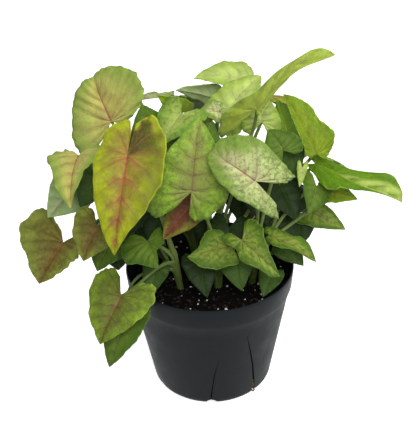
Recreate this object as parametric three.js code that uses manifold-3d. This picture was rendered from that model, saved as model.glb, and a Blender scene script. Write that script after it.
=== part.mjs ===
// An arrowhead plant in a slit nursery pot, as a scene graph of closed solids.
// Millimetres, +Z up. The origin is the middle of the pot's flat underside.
// The plant is a clump of short stems set in the soil. Each stem carries several leaf stalks,
// and each stalk holds one arrow-shaped blade at the notch between the blade's two back lobes.

import * as THREE from 'three';
import { mergeVertices } from 'three/addons/utils/BufferGeometryUtils.js';
import Module from 'manifold-3d';

const wasm = await Module();
wasm.setup();

// ---------------------------------------------------------------- driving dimensions, mm

const POT = {
  height: 123,
  rimRadius: 77.5, // outside of the rolled rim
  baseRadius: 56.5, // outside of the foot
  wall: 1.6,
  bandHeight: 19, // the straight collar under the rim
  bandStep: 3.2, // how far the wall sits inside the collar
  footRadius: 10, // rounding between the wall and the base
  bandTaper: 1.6, // how much narrower the collar is at its foot than at the rim
  slant: 1, // how far the wall draws in over its last few millimetres under the collar
  lip: 0.7, // rounding of the rim
  drain: { radius: 5, out: 30, count: 4 }, // the round holes in the floor
  sides: 32,
};
const SOIL = { top: 108, mound: 4, lump: 1.2, gap: 0.4 };
const STEM = { radius: 3.4, depth: 30, sides: 6, holeGap: 0.4 };
const STALK = { radius: 1.5, sides: 5, steps: 4 };
const SHADE_STALK = { radius: 1.3, sides: 4, steps: 3, along: 2, under: 0.9 };
const BLADE = { thickness: 0.8, ribThickness: 1.5 };
const GAP = 0.3; // between a stalk and its blade
const CLEAR = 0.7; // kept between pieces of different leaves

const UP = new THREE.Vector3(0, 0, 1);
const rad = THREE.MathUtils.degToRad;

// ---------------------------------------------------------------- solids

// A closed geometry as a manifold-3d solid.
function solidOf(geometry) {
  const bare = new THREE.BufferGeometry();
  bare.setAttribute('position', geometry.getAttribute('position'));
  bare.setIndex(geometry.index);
  const merged = mergeVertices(bare, 1e-4);
  return new wasm.Manifold(new wasm.Mesh({
    numProp: 3,
    vertProperties: merged.attributes.position.array,
    triVerts: new Uint32Array(merged.index.array),
  }));
}

// The solid back as a geometry that three.js draws.
function geometryOf(solid) {
  const { vertProperties, triVerts } = solid.getMesh();
  const geometry = new THREE.BufferGeometry();
  geometry.setAttribute('position', new THREE.BufferAttribute(vertProperties, 3));
  geometry.setIndex(new THREE.BufferAttribute(triVerts, 1));
  geometry.computeVertexNormals();
  return geometry;
}

function largestBody(solid) {
  return solid.decompose().reduce((a, b) => (a.volume() > b.volume() ? a : b));
}

function boxOf(solid) {
  const { min, max } = solid.boundingBox();
  return new THREE.Box3(new THREE.Vector3(...min), new THREE.Vector3(...max));
}

// True where a solid touches none of the others.
function isClear(solid, others) {
  const box = boxOf(solid);
  return !others.some((o) => o.box.intersectsBox(box) && solid.intersect(o.solid).volume() > 1e-6);
}

function piece(name, solid, material) {
  const mesh = new THREE.Mesh(geometryOf(solid), material);
  mesh.name = name;
  return mesh;
}

// ---------------------------------------------------------------- materials

const finish = (color, roughness) => new THREE.MeshStandardMaterial({ color, roughness, metalness: 0 });
const MATERIALS = {
  pot: finish('#2f3133', 0.55),
  soil: finish('#17110d', 1),
  stalk: finish('#5f7a34', 0.5),
  lime: finish('#8db02c', 0.45),
  pale: finish('#b9cd8a', 0.45),
  blush: finish('#a89a4c', 0.45),
  deep: finish('#3f6a24', 0.45),
  rose: finish('#b8654a', 0.45),
};

// ---------------------------------------------------------------- pot

// Points of a quarter circle round (r, z), from one angle to another in degrees.
function arc(r, z, radius, from, to, steps) {
  return Array.from({ length: steps + 1 }, (_, i) => {
    const angle = rad(from + ((to - from) * i) / steps);
    return new THREE.Vector2(r + radius * Math.cos(angle), z + radius * Math.sin(angle));
  });
}

function latheAboutZ(profile, sides) {
  return solidOf(new THREE.LatheGeometry(profile, sides).rotateX(Math.PI / 2));
}

// The tools that cut the foot start this far out, reach this far through it, and this far under it.
const CUT = { start: 44, notchDepth: 14, splitDepth: 30, under: 1, archSteps: 3 };

// A long thin wedge, narrow at the top: the split that runs up the wall from a drain notch.
function split(width, height) {
  const shape = new THREE.Shape([
    new THREE.Vector2(-width / 2, -CUT.under),
    new THREE.Vector2(width / 2, -CUT.under),
    new THREE.Vector2(0, height),
  ]);
  const reach = { depth: CUT.splitDepth, bevelEnabled: false };
  return new THREE.ExtrudeGeometry(shape, reach).rotateX(Math.PI / 2);
}

// A round-topped notch through the corner of the foot, where water leaves.
function drainNotch(width, height) {
  const shape = new THREE.Shape();
  shape.moveTo(-width / 2, -CUT.under);
  shape.lineTo(width / 2, -CUT.under);
  shape.lineTo(width / 2, height - width / 2);
  shape.absarc(0, height - width / 2, width / 2, 0, Math.PI, false);
  const reach = { depth: CUT.notchDepth, bevelEnabled: false, curveSegments: CUT.archSteps };
  return new THREE.ExtrudeGeometry(shape, reach).rotateX(Math.PI / 2);
}

const FOOT_END = -8; // the foot's rounding meets the wall's slope at this angle

function makePot() {
  const { height, rimRadius, baseRadius, wall, footRadius } = POT;
  const { bandHeight, bandStep, bandTaper, slant, lip } = POT;
  const bandFoot = height - bandHeight;
  const wallTop = rimRadius - bandStep;
  const profile = [
    new THREE.Vector2(0, 0),
    ...arc(baseRadius - footRadius, footRadius, footRadius, -90, FOOT_END, 3),
    new THREE.Vector2(wallTop - slant, bandFoot - 4),
    new THREE.Vector2(rimRadius - bandTaper, bandFoot),
    new THREE.Vector2(rimRadius, height - lip),
    new THREE.Vector2(rimRadius - lip, height),
    new THREE.Vector2(rimRadius - wall, height - lip),
    new THREE.Vector2(rimRadius - bandTaper - wall, bandFoot + 1),
    new THREE.Vector2(wallTop - slant - wall, bandFoot - 3),
    ...arc(baseRadius - footRadius, footRadius, footRadius - wall, FOOT_END, -90, 2),
    new THREE.Vector2(0, wall),
  ];
  let pot = latheAboutZ(profile, POT.sides);
  // Each tool stands on the foot's edge at its own heading and leans along the wall.
  const cut = (geometry, heading, lean) => {
    const placed = geometry.translate(0, -CUT.start, 0).rotateY(rad(lean)).rotateZ(rad(heading + 90));
    pot = pot.subtract(solidOf(placed));
  };
  for (const { heading, width, height: up } of NOTCHES) cut(drainNotch(width, up), heading, 0);
  for (const { heading, width, height: up, lean } of SPLITS) cut(split(width, up), heading, lean);
  const { radius, out, count } = POT.drain;
  for (let i = 0; i < count; i++) {
    const drain = new THREE.CylinderGeometry(radius, radius, 6 * wall, 8).rotateX(Math.PI / 2);
    drain.translate(out, 0, 0).rotateZ(rad((360 * (i + 0.5)) / count));
    pot = pot.subtract(solidOf(drain));
  }
  return largestBody(pot);
}

const NOTCHES = [-150, -92, -46, 14, 74, 134, 174].map((heading) => ({ heading, width: 9, height: 9 }));
const SPLITS = [
  { heading: -94, width: 2, height: 66, lean: 13 },
  { heading: -44, width: 3.6, height: 92, lean: -20 },
];

// ---------------------------------------------------------------- soil

// Unevenness of the soil's top, from -1.5 to 1.5: broad swells with smaller lumps on them.
function soilBumps(x, y) {
  const swells = Math.sin(x * 0.19 + y * 0.11) * Math.cos(y * 0.23 - x * 0.07);
  return swells + 0.5 * Math.sin(x * 0.41 - y * 0.37);
}

// The potting mix fills the pot to below the collar's lip, with an uneven, slightly mounded top.
function makeSoil() {
  const { top, mound, lump, gap } = SOIL;
  const { height, rimRadius, baseRadius, wall, bandHeight, bandStep, bandTaper, slant, footRadius } = POT;
  const bandFoot = height - bandHeight;
  const inset = wall + gap;
  const edge = rimRadius - bandTaper - inset;
  const rings = [0.9, 0.7, 0.48, 0.25, 0];
  const profile = [
    new THREE.Vector2(0, inset),
    ...arc(baseRadius - footRadius, footRadius, footRadius - inset, -90, FOOT_END, 2),
    new THREE.Vector2(rimRadius - bandStep - slant - inset, bandFoot - 3),
    new THREE.Vector2(edge, bandFoot + 1.4),
    new THREE.Vector2(edge, top - 2),
    ...rings.map((share) => new THREE.Vector2(edge * share, top)),
  ];
  const geometry = new THREE.LatheGeometry(profile, POT.sides).rotateX(Math.PI / 2);
  const spots = geometry.getAttribute('position');
  for (let i = 0; i < spots.count; i++) {
    if (spots.getZ(i) < top - 0.01) continue;
    const [x, y] = [spots.getX(i), spots.getY(i)];
    const out = Math.hypot(x, y) / edge;
    spots.setZ(i, top + mound * (1 - out * out) + lump * soilBumps(x, y));
  }
  return solidOf(geometry);
}

// ---------------------------------------------------------------- leaf blade

// Half of the blade's edge, from the tip round to the inner end of the back lobe. The first number runs
// along the midrib in midrib lengths from the stalk, the second across in blade widths.
const EDGE = [
  [1, 0], [0.8, 0.15], [0.45, 0.36], [0.1, 0.48], [-0.2, 0.5], [-0.41, 0.42], [-0.48, 0.29], [-0.36, 0.15],
];
// The edges that are drawn leaf by leaf, where a blade is lopsided, folded or partly turned under. The tip
// is left out, and each list holds the other points of its half.
const OUTLINES = {
  leaf_01: {
    left: [[0.77, 0.14], [0.48, 0.36], [0.2, 0.48], [-0.1, 0.48], [-0.33, 0.38], [-0.44, 0.22],
      [-0.3, 0.15]],
    right: [[0.76, 0.18], [0.48, 0.32], [0.18, 0.4], [-0.02, 0.38], [-0.28, 0.28], [-0.42, 0.1],
      [-0.34, -0.06]],
  },
  leaf_03: {
    left: [[0.92, 0.13], [0.66, 0.24], [0.24, 0.32], [-0.12, 0.29], [-0.48, 0.25], [-0.84, 0.19],
      [-0.64, 0.06]],
    right: [[0.95, 0.2], [0.74, 0.35], [0.34, 0.46], [-0.2, 0.4], [-0.54, 0.38], [-0.58, 0.28],
      [-0.32, 0.12]],
  },
  leaf_05: {
    left: [[0.98, 0.12], [0.82, 0.27], [0.54, 0.38], [0.1, 0.5], [-0.24, 0.53], [-0.34, 0.36],
      [-0.07, 0.16]],
    right: [[1.05, 0.13], [0.9, 0.37], [0.62, 0.52], [0.3, 0.55], [0.04, 0.45], [-0.1, 0.28],
      [-0.13, 0.09]],
  },
  leaf_06: {
    left: [[0.89, 0.3], [0.69, 0.45], [0.57, 0.2], [0.35, 0.23], [0.2, 0.15], [-0.05, 0.33], [-0.22, 0.24]],
    right: [[0.87, 0.04], [0.63, 0.1], [0.42, 0.27], [0.25, 0.46], [0.1, 0.33], [-0.01, 0.2],
      [-0.08, 0.08]],
  },
  leaf_07: {
    left: [[0.86, 0.2], [0.56, 0.1], [0.14, 0.22], [-0.2, 0.38], [-0.44, 0.36], [-0.57, 0.12],
      [-0.29, 0.02]],
    right: [[0.78, 0.06], [0.47, 0.12], [0.18, 0.09], [0.1, 0.1], [0.05, 0.12], [0, 0.14], [-0.03, 0.07]],
  },
  leaf_08: {
    left: [[0.7, 0.22], [0.38, 0.33], [0.14, 0.36], [-0.06, 0.32], [-0.2, 0.24], [-0.2, 0.12],
      [-0.06, 0.05]],
    right: [[0.84, 0.17], [0.6, 0.34], [0.36, 0.54], [0.04, 0.66], [-0.46, 0.58], [-0.42, 0.37],
      [-0.21, 0.12]],
  },
  leaf_09: {
    left: [[0.68, 0.13], [0.37, 0.3], [0.18, 0.46], [0.06, 0.5], [-0.06, 0.4], [-0.12, 0.22],
      [-0.06, 0.05]],
    right: [[0.69, 0.24], [0.38, 0.36], [0.12, 0.5], [-0.08, 0.48], [-0.18, 0.36], [-0.16, 0.2],
      [-0.08, 0.1]],
  },
  leaf_10: {
    left: [[0.78, 0.25], [0.54, 0.42], [0.34, 0.3], [0.12, 0.32], [-0.11, 0.3], [-0.28, 0.2],
      [-0.22, 0.04]],
    right: [[0.84, 0.07], [0.6, 0.09], [0.4, 0.17], [0.21, 0.29], [0.05, 0.25], [-0.1, 0.14],
      [-0.11, 0.03]],
  },
  leaf_11: {
    left: [[0.88, 0.06], [0.65, 0.17], [0.46, 0.27], [0.24, 0.41], [0.07, 0.54], [-0.18, 0.51],
      [-0.24, 0.35]],
    right: [[0.88, 0.16], [0.61, 0.22], [0.32, 0.36], [0.05, 0.26], [-0.19, 0.3], [-0.41, 0.26],
      [-0.29, 0.05]],
  },
  leaf_12: {
    left: [[0.92, 0.15], [0.78, 0.34], [0.54, 0.46], [0.22, 0.49], [-0.08, 0.44], [-0.11, 0.25],
      [-0.04, 0.1]],
    right: [[0.86, 0.06], [0.68, 0.17], [0.57, 0.35], [0.39, 0.48], [0.15, 0.47], [0.03, 0.31],
      [-0.01, 0.12]],
  },
  leaf_14: {
    left: [[0.69, 0.06], [0.43, 0.1], [0.38, 0.19], [0.22, 0.3], [-0.18, 0.34], [-0.35, 0.27],
      [-0.13, 0.09]],
    right: [[0.92, 0.12], [0.66, 0.31], [0.45, 0.54], [0.03, 0.58], [-0.3, 0.44], [-0.43, 0.2],
      [-0.24, 0.05]],
  },
  leaf_15: {
    left: [[0.9, 0.04], [0.72, 0.11], [0.56, 0.14], [0.39, 0.17], [0.22, 0.19], [0.06, 0.22],
      [-0.01, 0.16]],
    right: [[0.82, 0.2], [0.63, 0.31], [0.39, 0.35], [0.25, 0.45], [0.1, 0.45], [-0.05, 0.29],
      [-0.14, 0.1]],
  },
};
const TIP = EDGE[0];
const FIRST_LOBE_SPOKE = 3; // the spokes from here on start at the stalk and not along the midrib
const LARGE_WIDTH = 44;
const OWN_EDGE_WIDTH = 40;
const TINY_WIDTH = 24;
const BACK = 40; // behind this depth a large blade has no more rings than a small one
// Shares of the way from the midrib to the edge. A small blade has fewer rings.
function ringsOf(leaf) {
  if (leaf.shade || leaf.width <= TINY_WIDTH) return [0, 1];
  const ownEdge = leaf.name in OUTLINES && leaf.width >= OWN_EDGE_WIDTH;
  const large = leaf.at.y < BACK && (leaf.width > LARGE_WIDTH || ownEdge);
  return large ? [0, 0.4, 0.75, 1] : [0, 0.55, 1];
}

// The plain edge of a half blade, with its back lobe stretched, spread and swayed.
function plainEdge(leaf, spoke, side) {
  const lobeRoot = 0.3; // the lobes have turned fully this far behind the stalk
  let [u, v] = EDGE[spoke];
  v *= leaf.width;
  u *= leaf.length;
  if (u >= 0) return [u, v];
  u *= leaf.lobe * (1 + side * leaf.skew);
  v *= 1 + Math.min(0, side * leaf.skew);
  const turn = rad(leaf.spread + side * leaf.sway) * Math.min(1, -u / (lobeRoot * leaf.length));
  return [u * Math.cos(turn) + v * Math.sin(turn), v * Math.cos(turn) - u * Math.sin(turn)];
}

// The point of the flat half blade on one spoke, at a share of the way out.
function flatPoint(leaf, spoke, side, share, grow) {
  const own = OUTLINES[leaf.name];
  const half = own && [TIP, ...own[side > 0 ? 'left' : 'right']];
  const onOwn = () => [half[spoke][0] * leaf.length, half[spoke][1] * leaf.width];
  let [u, v] = own ? onOwn() : plainEdge(leaf, spoke, side);
  const reach = Math.hypot(u, v);
  if (grow) [u, v] = [u * (1 + grow / reach), v * (1 + grow / reach)];
  const start = Math.max(0, 1 - spoke / FIRST_LOBE_SPOKE) * leaf.length;
  return [start + (u - start) * share, v * share];
}

const WAVES_PER_LENGTH = 1.6;
const WAVE_LAG = 1.2; // between the ripples of the two halves, in radians

// How far the midrib has turned down after a share of its length.
const slopeAt = (leaf, s) => -rad(leaf.bend) * s - rad(leaf.curl) * Math.max(0, s) ** 3;

// The midrib as a plane curve: how far along and up it is after a share of its length.
function ribPoint(leaf, s) {
  const steps = 16;
  let along = 0;
  let up = 0;
  for (let i = 0; i < steps; i++) {
    const slope = slopeAt(leaf, (s * (i + 0.5)) / steps);
    along += (Math.cos(slope) * s) / steps;
    up += (Math.sin(slope) * s) / steps;
  }
  return [along, up];
}

// Fills in what a leaf's own numbers give: its frame, with the midrib's ends where they were set.
function finishLeaf(leaf) {
  const at = new THREE.Vector3(...leaf.at);
  const chord = new THREE.Vector3(...leaf.tip).sub(at);
  const forward = chord.clone().normalize();
  const [heading, elevation] = leaf.face.map(rad);
  const up = new THREE.Vector3(
    Math.cos(elevation) * Math.cos(heading), Math.cos(elevation) * Math.sin(heading), Math.sin(elevation));
  up.addScaledVector(forward, -up.dot(forward)).normalize();
  const left = new THREE.Vector3().crossVectors(up, forward);
  const [along, rise] = ribPoint(leaf, 1);
  const length = chord.length() / Math.hypot(along, rise);
  const pitch = -Math.atan2(rise, along);
  const startForward = forward.clone().multiplyScalar(Math.cos(pitch)).addScaledVector(up, Math.sin(pitch));
  const startUp = up.clone().multiplyScalar(Math.cos(pitch)).addScaledVector(forward, -Math.sin(pitch));
  return { ...leaf, at, forward, up, left, length, pitch, startForward, startUp };
}

// The point of the shaped blade at a place of the flat one. Side is 1 on the left and -1 on the right.
function bladePoint(leaf, u, v, side) {
  const s = u / leaf.length;
  const [along, rise] = ribPoint(leaf, s).map((x) => x * leaf.length);
  const slope = slopeAt(leaf, s) + leaf.pitch;
  const [cos, sin] = [Math.cos(leaf.pitch), Math.sin(leaf.pitch)];
  const normal = leaf.up.clone().multiplyScalar(Math.cos(slope));
  normal.addScaledVector(leaf.forward, -Math.sin(slope));
  const twist = rad(leaf.twist) * s;
  const across = leaf.left.clone().multiplyScalar(Math.cos(twist)).addScaledVector(normal, Math.sin(twist));
  normal.multiplyScalar(Math.cos(twist)).addScaledVector(leaf.left, -Math.sin(twist));
  const out = v / (leaf.width / 2);
  const lift = rad(leaf.fold + leaf.roll * Math.max(0, s) + (leaf.cup * out) / 2);
  const ripple = 2 * Math.PI * WAVES_PER_LENGTH * s + side * WAVE_LAG + leaf.phase;
  const wave = leaf.wave * out * out * Math.sin(ripple);
  const sweep = leaf.sweep * Math.sin(Math.PI * THREE.MathUtils.clamp(s, 0, 1)) ** 2;
  return leaf.at.clone()
    .addScaledVector(leaf.forward, along * cos - rise * sin)
    .addScaledVector(leaf.up, along * sin + rise * cos)
    .addScaledVector(across, side * v * Math.cos(lift) + sweep)
    .addScaledVector(normal, v * Math.sin(lift) + wave);
}

// The blade's middle surface: welded points, triangles, and which points lie on the midrib.
function bladeSurface(leaf, grow) {
  const rings = ringsOf(leaf);
  const points = [];
  const onRib = [];
  const triangles = [];
  const known = new Map();
  const pointAt = (spoke, ring, side) => {
    const [u, v] = flatPoint(leaf, spoke, side, rings[ring], ring === rings.length - 1 ? grow : 0);
    const key = [u.toFixed(3), (side * v).toFixed(3).replace('-0.000', '0.000')].join();
    if (!known.has(key)) {
      known.set(key, points.length);
      points.push(bladePoint(leaf, u, v, side));
      onRib.push(ring === 0);
    }
    return known.get(key);
  };
  for (const side of [1, -1]) {
    for (let spoke = 0; spoke < EDGE.length - 1; spoke++) {
      for (let ring = 0; ring < rings.length - 1; ring++) {
        const [a, b] = [pointAt(spoke, ring, side), pointAt(spoke + 1, ring, side)];
        const [c, d] = [pointAt(spoke + 1, ring + 1, side), pointAt(spoke, ring + 1, side)];
        for (const t of [[a, d, c], [a, c, b]]) {
          if (new Set(t).size === 3) triangles.push(side > 0 ? t : [t[0], t[2], t[1]]);
        }
      }
    }
  }
  return { points, onRib, triangles };
}

// The surface with a thickness: the same triangles above and below, joined round the open edge.
function thicken({ points, onRib, triangles }, extra) {
  const normals = points.map(() => new THREE.Vector3());
  for (const [a, b, c] of triangles) {
    const face = points[b].clone().sub(points[a]).cross(points[c].clone().sub(points[a]));
    for (const i of [a, b, c]) normals[i].add(face);
  }
  normals.forEach((n) => n.normalize());
  const half = BLADE.thickness / 2 + extra;
  const top = points.map((p, i) => p.clone().addScaledVector(normals[i], half));
  const rib = BLADE.ribThickness - BLADE.thickness;
  const under = points.map((p, i) => p.clone().addScaledVector(normals[i], -half - (onRib[i] ? rib : 0)));
  const n = points.length;
  const edges = new Set(triangles.flatMap(([a, b, c]) => [`${a},${b}`, `${b},${c}`, `${c},${a}`]));
  const faces = [...triangles, ...triangles.map(([a, b, c]) => [a + n, c + n, b + n])];
  for (const edge of edges) {
    const [a, b] = edge.split(',').map(Number);
    if (!edges.has(`${b},${a}`)) faces.push([b, a, a + n], [b, a + n, b + n]);
  }
  const geometry = new THREE.BufferGeometry().setFromPoints([...top, ...under]);
  geometry.setIndex(faces.flat());
  return solidOf(geometry);
}

const bladeSolid = (leaf, extra = 0, grow = 0) => thicken(bladeSurface(leaf, grow), extra);

// ---------------------------------------------------------------- stems and stalks

// A straight round bar between two points.
function bar(from, to, radius, sides) {
  const line = new THREE.LineCurve3(from, to);
  return solidOf(tube(line, radius, sides, 1));
}

// A round tube along a curve.
function tube(path, radius, sides, steps) {
  const ring = Array.from({ length: sides }, (_, i) => {
    const angle = (2 * Math.PI * i) / sides;
    return new THREE.Vector2(radius * Math.cos(angle), radius * Math.sin(angle));
  });
  return new THREE.ExtrudeGeometry(new THREE.Shape(ring), { steps, extrudePath: path });
}

const stemTop = ({ x, y, tall, lean }) => new THREE.Vector3(x + lean[0], y + lean[1], SOIL.top + tall);
const stemFoot = ({ x, y }) => new THREE.Vector3(x, y, SOIL.top - STEM.depth);

// The curve of a leaf's stalk: out of the stem, up, over and into the notch of its blade. The bow pushes
// its middle sideways. Low is the leaf's place on the stem, from 0 at the top to 1 just over the soil.
// The stalk of a shade leaf runs into its blade, and every other one ends just under its own.
function stalkPath(leaf, stem, low, bow) {
  const [leastBare, topInset, sunk] = [9, 2.5, 1.4];
  const [risePull, aimPull] = [0.6, 0.8];
  const [startHold, endHold] = [0.42, 0.34];
  const top = stemTop(stem);
  const along = top.clone().sub(stemFoot(stem)).normalize();
  const start = top.clone().addScaledVector(along, -topInset - low * (stem.tall - leastBare));
  const away = leaf.at.clone().sub(start);
  const side = away.clone().addScaledVector(along, -away.dot(along)).normalize();
  start.addScaledVector(side, STEM.radius - sunk);
  const reach = away.length();
  const rise = along.clone().multiplyScalar(risePull).addScaledVector(away.normalize(), aimPull).normalize();
  const meet = rad(leaf.meet);
  const arrive = leaf.startForward.clone().multiplyScalar(Math.cos(meet));
  arrive.addScaledVector(leaf.startUp, Math.sin(meet));
  const end = leaf.at.clone();
  if (leaf.shade) {
    end.addScaledVector(leaf.startForward, SHADE_STALK.along);
    end.addScaledVector(leaf.startUp, -SHADE_STALK.under);
  } else {
    const under = BLADE.ribThickness - BLADE.thickness / 2 + GAP + STALK.radius * Math.cos(meet);
    end.addScaledVector(leaf.startUp, -under);
  }
  const c1 = start.clone().addScaledVector(rise, reach * startHold).add(bow);
  const c2 = end.clone().addScaledVector(arrive, -reach * endHold).add(bow);
  return new THREE.CubicBezierCurve3(start, c1, c2, end);
}

// ---------------------------------------------------------------- planting plan

// Where each stem stands in the soil, how tall it is, and how far its top leans from upright, in mm.
const STEMS = {
  a: { x: -24, y: -20, tall: 40, lean: [-6, -4] },
  b: { x: 6, y: -20, tall: 34, lean: [2, -4] },
  c: { x: 34, y: -12, tall: 38, lean: [8, -4] },
  d: { x: -36, y: 14, tall: 40, lean: [-8, 4] },
  e: { x: 2, y: 4, tall: 52, lean: [2, 0] },
  f: { x: 28, y: 26, tall: 40, lean: [6, 8] },
  g: { x: -12, y: 38, tall: 40, lean: [-4, 8] },
};

// Every leaf: its stem, where its stalk meets it, its tip, and the way its upper face looks as a heading
// and an elevation in degrees (-90, 30 looks to the front and up). Then its width, and in degrees: the
// midrib's bend and the tip's curl, the fold of the two halves and how much it grows towards the tip
// (roll), their cup towards the edge, the twist, how far the back lobes spread and sway, and the angle at
// which the stalk meets it. Lobe scales the length of the back lobes, skew makes the left one longer than
// the right, wave is the ripple of the edge in mm and sweep the sideways bow of the midrib in mm.
const PLAIN = {
  width: 50, bend: 28, curl: 0, fold: 8, roll: 0, cup: -12, wave: 1.2, twist: 0, sweep: 0,
  lobe: 1, spread: 4, sway: 0, skew: 0, meet: 60, tone: 'pale',
};

const LEAVES = [
  // the large ones in front
  { name: 'leaf_01', stem: 'a', at: [-63, -66, 269], tip: [-76, -106, 201], face: [-96, 24], width: 63,
    fold: 10, tone: 'lime' },
  { name: 'leaf_02', stem: 'e', at: [-14, -70, 236], tip: [-6, -48, 291], face: [-92, 22], width: 66,
    lobe: 0.95, sway: 24, skew: 0.25, spread: -6, tone: 'pale' },
  { name: 'leaf_03', stem: 'c', at: [38, -80, 250], tip: [3, -66, 270], face: [-84, 38], width: 64,
    bend: 36, tone: 'pale' },
  { name: 'leaf_04', stem: 'a', at: [-78, -62, 132], tip: [-97, -85, 98], face: [-116, 30], width: 60,
    tone: 'blush' },
  { name: 'leaf_05', stem: 'd', at: [-82, 15, 261], tip: [-98, 45, 291], face: [-110, 35], width: 72,
    bend: 30, cup: -8, tone: 'blush' },
  { name: 'leaf_06', stem: 'f', at: [95, 0, 223], tip: [166, -35, 201], face: [-90, 56], width: 40,
    bend: 10, curl: 40, wave: 3, sweep: -5, tone: 'lime' },
  { name: 'leaf_07', stem: 'e', at: [41, -30, 289], tip: [105, -20, 330], face: [-110, 35], width: 46,
    bend: 30, curl: 40, fold: 12, cup: -20, sweep: 8, tone: 'lime' },
  { name: 'leaf_08', stem: 'd', at: [-130, -20, 162], tip: [-150, -50, 139], face: [-112, 30], width: 64,
    fold: 18, tone: 'blush' },
  { name: 'leaf_09', stem: 'd', at: [-107, -30, 253], tip: [-111, -78, 229], face: [-110, 36], width: 50,
    bend: 50, fold: 14, tone: 'blush' },
  { name: 'leaf_10', stem: 'c', at: [55, -40, 174], tip: [90, -65, 163], face: [-75, 62], width: 30,
    tone: 'pale' },
  { name: 'leaf_11', stem: 'b', at: [28, -55, 180], tip: [58, -80, 159], face: [-85, 35], width: 38,
    tone: 'pale' },
  { name: 'leaf_12', stem: 'b', at: [18, -42, 166], tip: [-19, -55, 165], face: [-95, 45], width: 36,
    tone: 'pale' },
  { name: 'leaf_13', stem: 'b', at: [-15, -36, 205], tip: [-39, -48, 179], face: [-110, 20], width: 34,
    tone: 'rose' },
  { name: 'leaf_14', stem: 'a', at: [-53, -40, 173], tip: [-44, -60, 159], face: [-90, 40], width: 44,
    bend: 14, tone: 'pale' },
  { name: 'leaf_15', stem: 'f', at: [94, -10, 237], tip: [67, 12, 284], face: [-70, 34], width: 46,
    fold: 16, tone: 'lime' },
  // the top
  { name: 'leaf_16', stem: 'e', at: [42, 56, 277], tip: [-9, 38, 291], face: [-90, 60], width: 44, bend: 60,
    tone: 'pale' },
  { name: 'leaf_17', stem: 'f', at: [20, 15, 268], tip: [50, 45, 286], face: [-100, 50], width: 40,
    bend: 50, tone: 'pale' },
  { name: 'leaf_18', stem: 'g', at: [14, 45, 266], tip: [-26, 48, 276], face: [75, 20], width: 32, wave: 3,
    tone: 'pale' },
  { name: 'leaf_19', stem: 'g', at: [-20, 25, 264], tip: [-40, 5, 289], face: [-120, 40], width: 24,
    tone: 'lime' },
  { name: 'leaf_20', stem: 'e', at: [-22, -8, 278], tip: [-40, -30, 260], face: [-110, 45], width: 40,
    tone: 'pale' },
  { name: 'leaf_21', stem: 'e', at: [8, 8, 268], tip: [-8, 0, 272], face: [-90, 50], width: 24,
    tone: 'pale' },
  { name: 'leaf_22', stem: 'e', at: [48, 0, 264], tip: [50, 14, 284], face: [-80, 40], width: 34,
    tone: 'pale' },
  { name: 'leaf_23', stem: 'f', at: [74, 14, 238], tip: [65, 34, 270], face: [-60, 40], width: 36,
    tone: 'lime' },
  { name: 'leaf_24', stem: 'g', at: [-44, -6, 251], tip: [-54, 14, 277], face: [-80, 30], width: 44,
    tone: 'deep' },
  // the right side
  { name: 'leaf_25', stem: 'f', at: [81, -20, 229], tip: [78, -30, 216], face: [-90, 30], width: 9,
    tone: 'pale' },
  { name: 'leaf_26', stem: 'c', at: [106, -2, 195], tip: [131, -15, 194], face: [-80, 50], width: 24,
    tone: 'lime' },
  { name: 'leaf_27', stem: 'c', at: [95, -18, 210], tip: [86, -40, 195], face: [-70, 24], width: 30,
    tone: 'pale' },
  { name: 'leaf_28', stem: 'f', at: [94, 10, 168], tip: [124, 0, 155], face: [-80, 50], width: 28,
    tone: 'pale' },
  { name: 'leaf_29', stem: 'c', at: [68, -30, 156], tip: [82, -44, 146], face: [-80, 40], width: 24,
    tone: 'deep' },
  { name: 'leaf_30', stem: 'c', at: [64, -4, 204], tip: [76, -22, 180], face: [-80, 30], width: 36,
    tone: 'deep' },
  // the left side and low in the shade
  { name: 'leaf_31', stem: 'd', at: [-95, -48, 194], tip: [-107, -64, 170], face: [-110, 30], width: 44,
    tone: 'blush' },
  { name: 'leaf_32', stem: 'd', at: [-87, -14, 162], tip: [-100, -35, 141], face: [-100, 30], width: 42,
    tone: 'deep' },
  { name: 'leaf_33', stem: 'd', at: [-117, -4, 208], tip: [-141, -18, 187], face: [80, 0], width: 42,
    tone: 'pale' },
  { name: 'leaf_34', stem: 'a', at: [-75, -62, 105], tip: [-91, -78, 67], face: [-114, 30], width: 38,
    meet: 10, tone: 'pale' },
  { name: 'leaf_35', stem: 'a', at: [-42, -32, 137], tip: [-50, -50, 118], face: [-95, 35], width: 24,
    tone: 'deep' },
  { name: 'leaf_36', stem: 'b', at: [-9, -34, 144], tip: [-3, -54, 122], face: [-90, 35], width: 30,
    tone: 'deep' },
  { name: 'leaf_37', stem: 'b', at: [22, -36, 149], tip: [27, -54, 128], face: [-85, 35], width: 32,
    tone: 'deep' },
  { name: 'leaf_38', stem: 'd', at: [-96, -12, 222], tip: [-110, -28, 202], face: [-100, 20], width: 34,
    tone: 'deep' },
  // the back
  { name: 'leaf_39', stem: 'g', at: [-60, 60, 262], tip: [-92, 92, 236], face: [130, 45], width: 58,
    tone: 'pale' },
  { name: 'leaf_40', stem: 'g', at: [0, 84, 250], tip: [-6, 122, 206], face: [92, 40], width: 60,
    tone: 'pale' },
  { name: 'leaf_41', stem: 'f', at: [56, 72, 256], tip: [80, 112, 222], face: [60, 45], width: 58,
    tone: 'lime' },
  { name: 'leaf_42', stem: 'g', at: [-92, 44, 218], tip: [-138, 60, 186], face: [150, 45], width: 56,
    tone: 'blush' },
  { name: 'leaf_43', stem: 'f', at: [92, 52, 208], tip: [136, 66, 178], face: [35, 45], width: 52,
    tone: 'pale' },
  { name: 'leaf_44', stem: 'g', at: [-40, 92, 194], tip: [-60, 128, 158], face: [115, 40], width: 50,
    tone: 'pale' },
  { name: 'leaf_45', stem: 'f', at: [34, 96, 196], tip: [46, 130, 160], face: [80, 40], width: 50,
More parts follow.
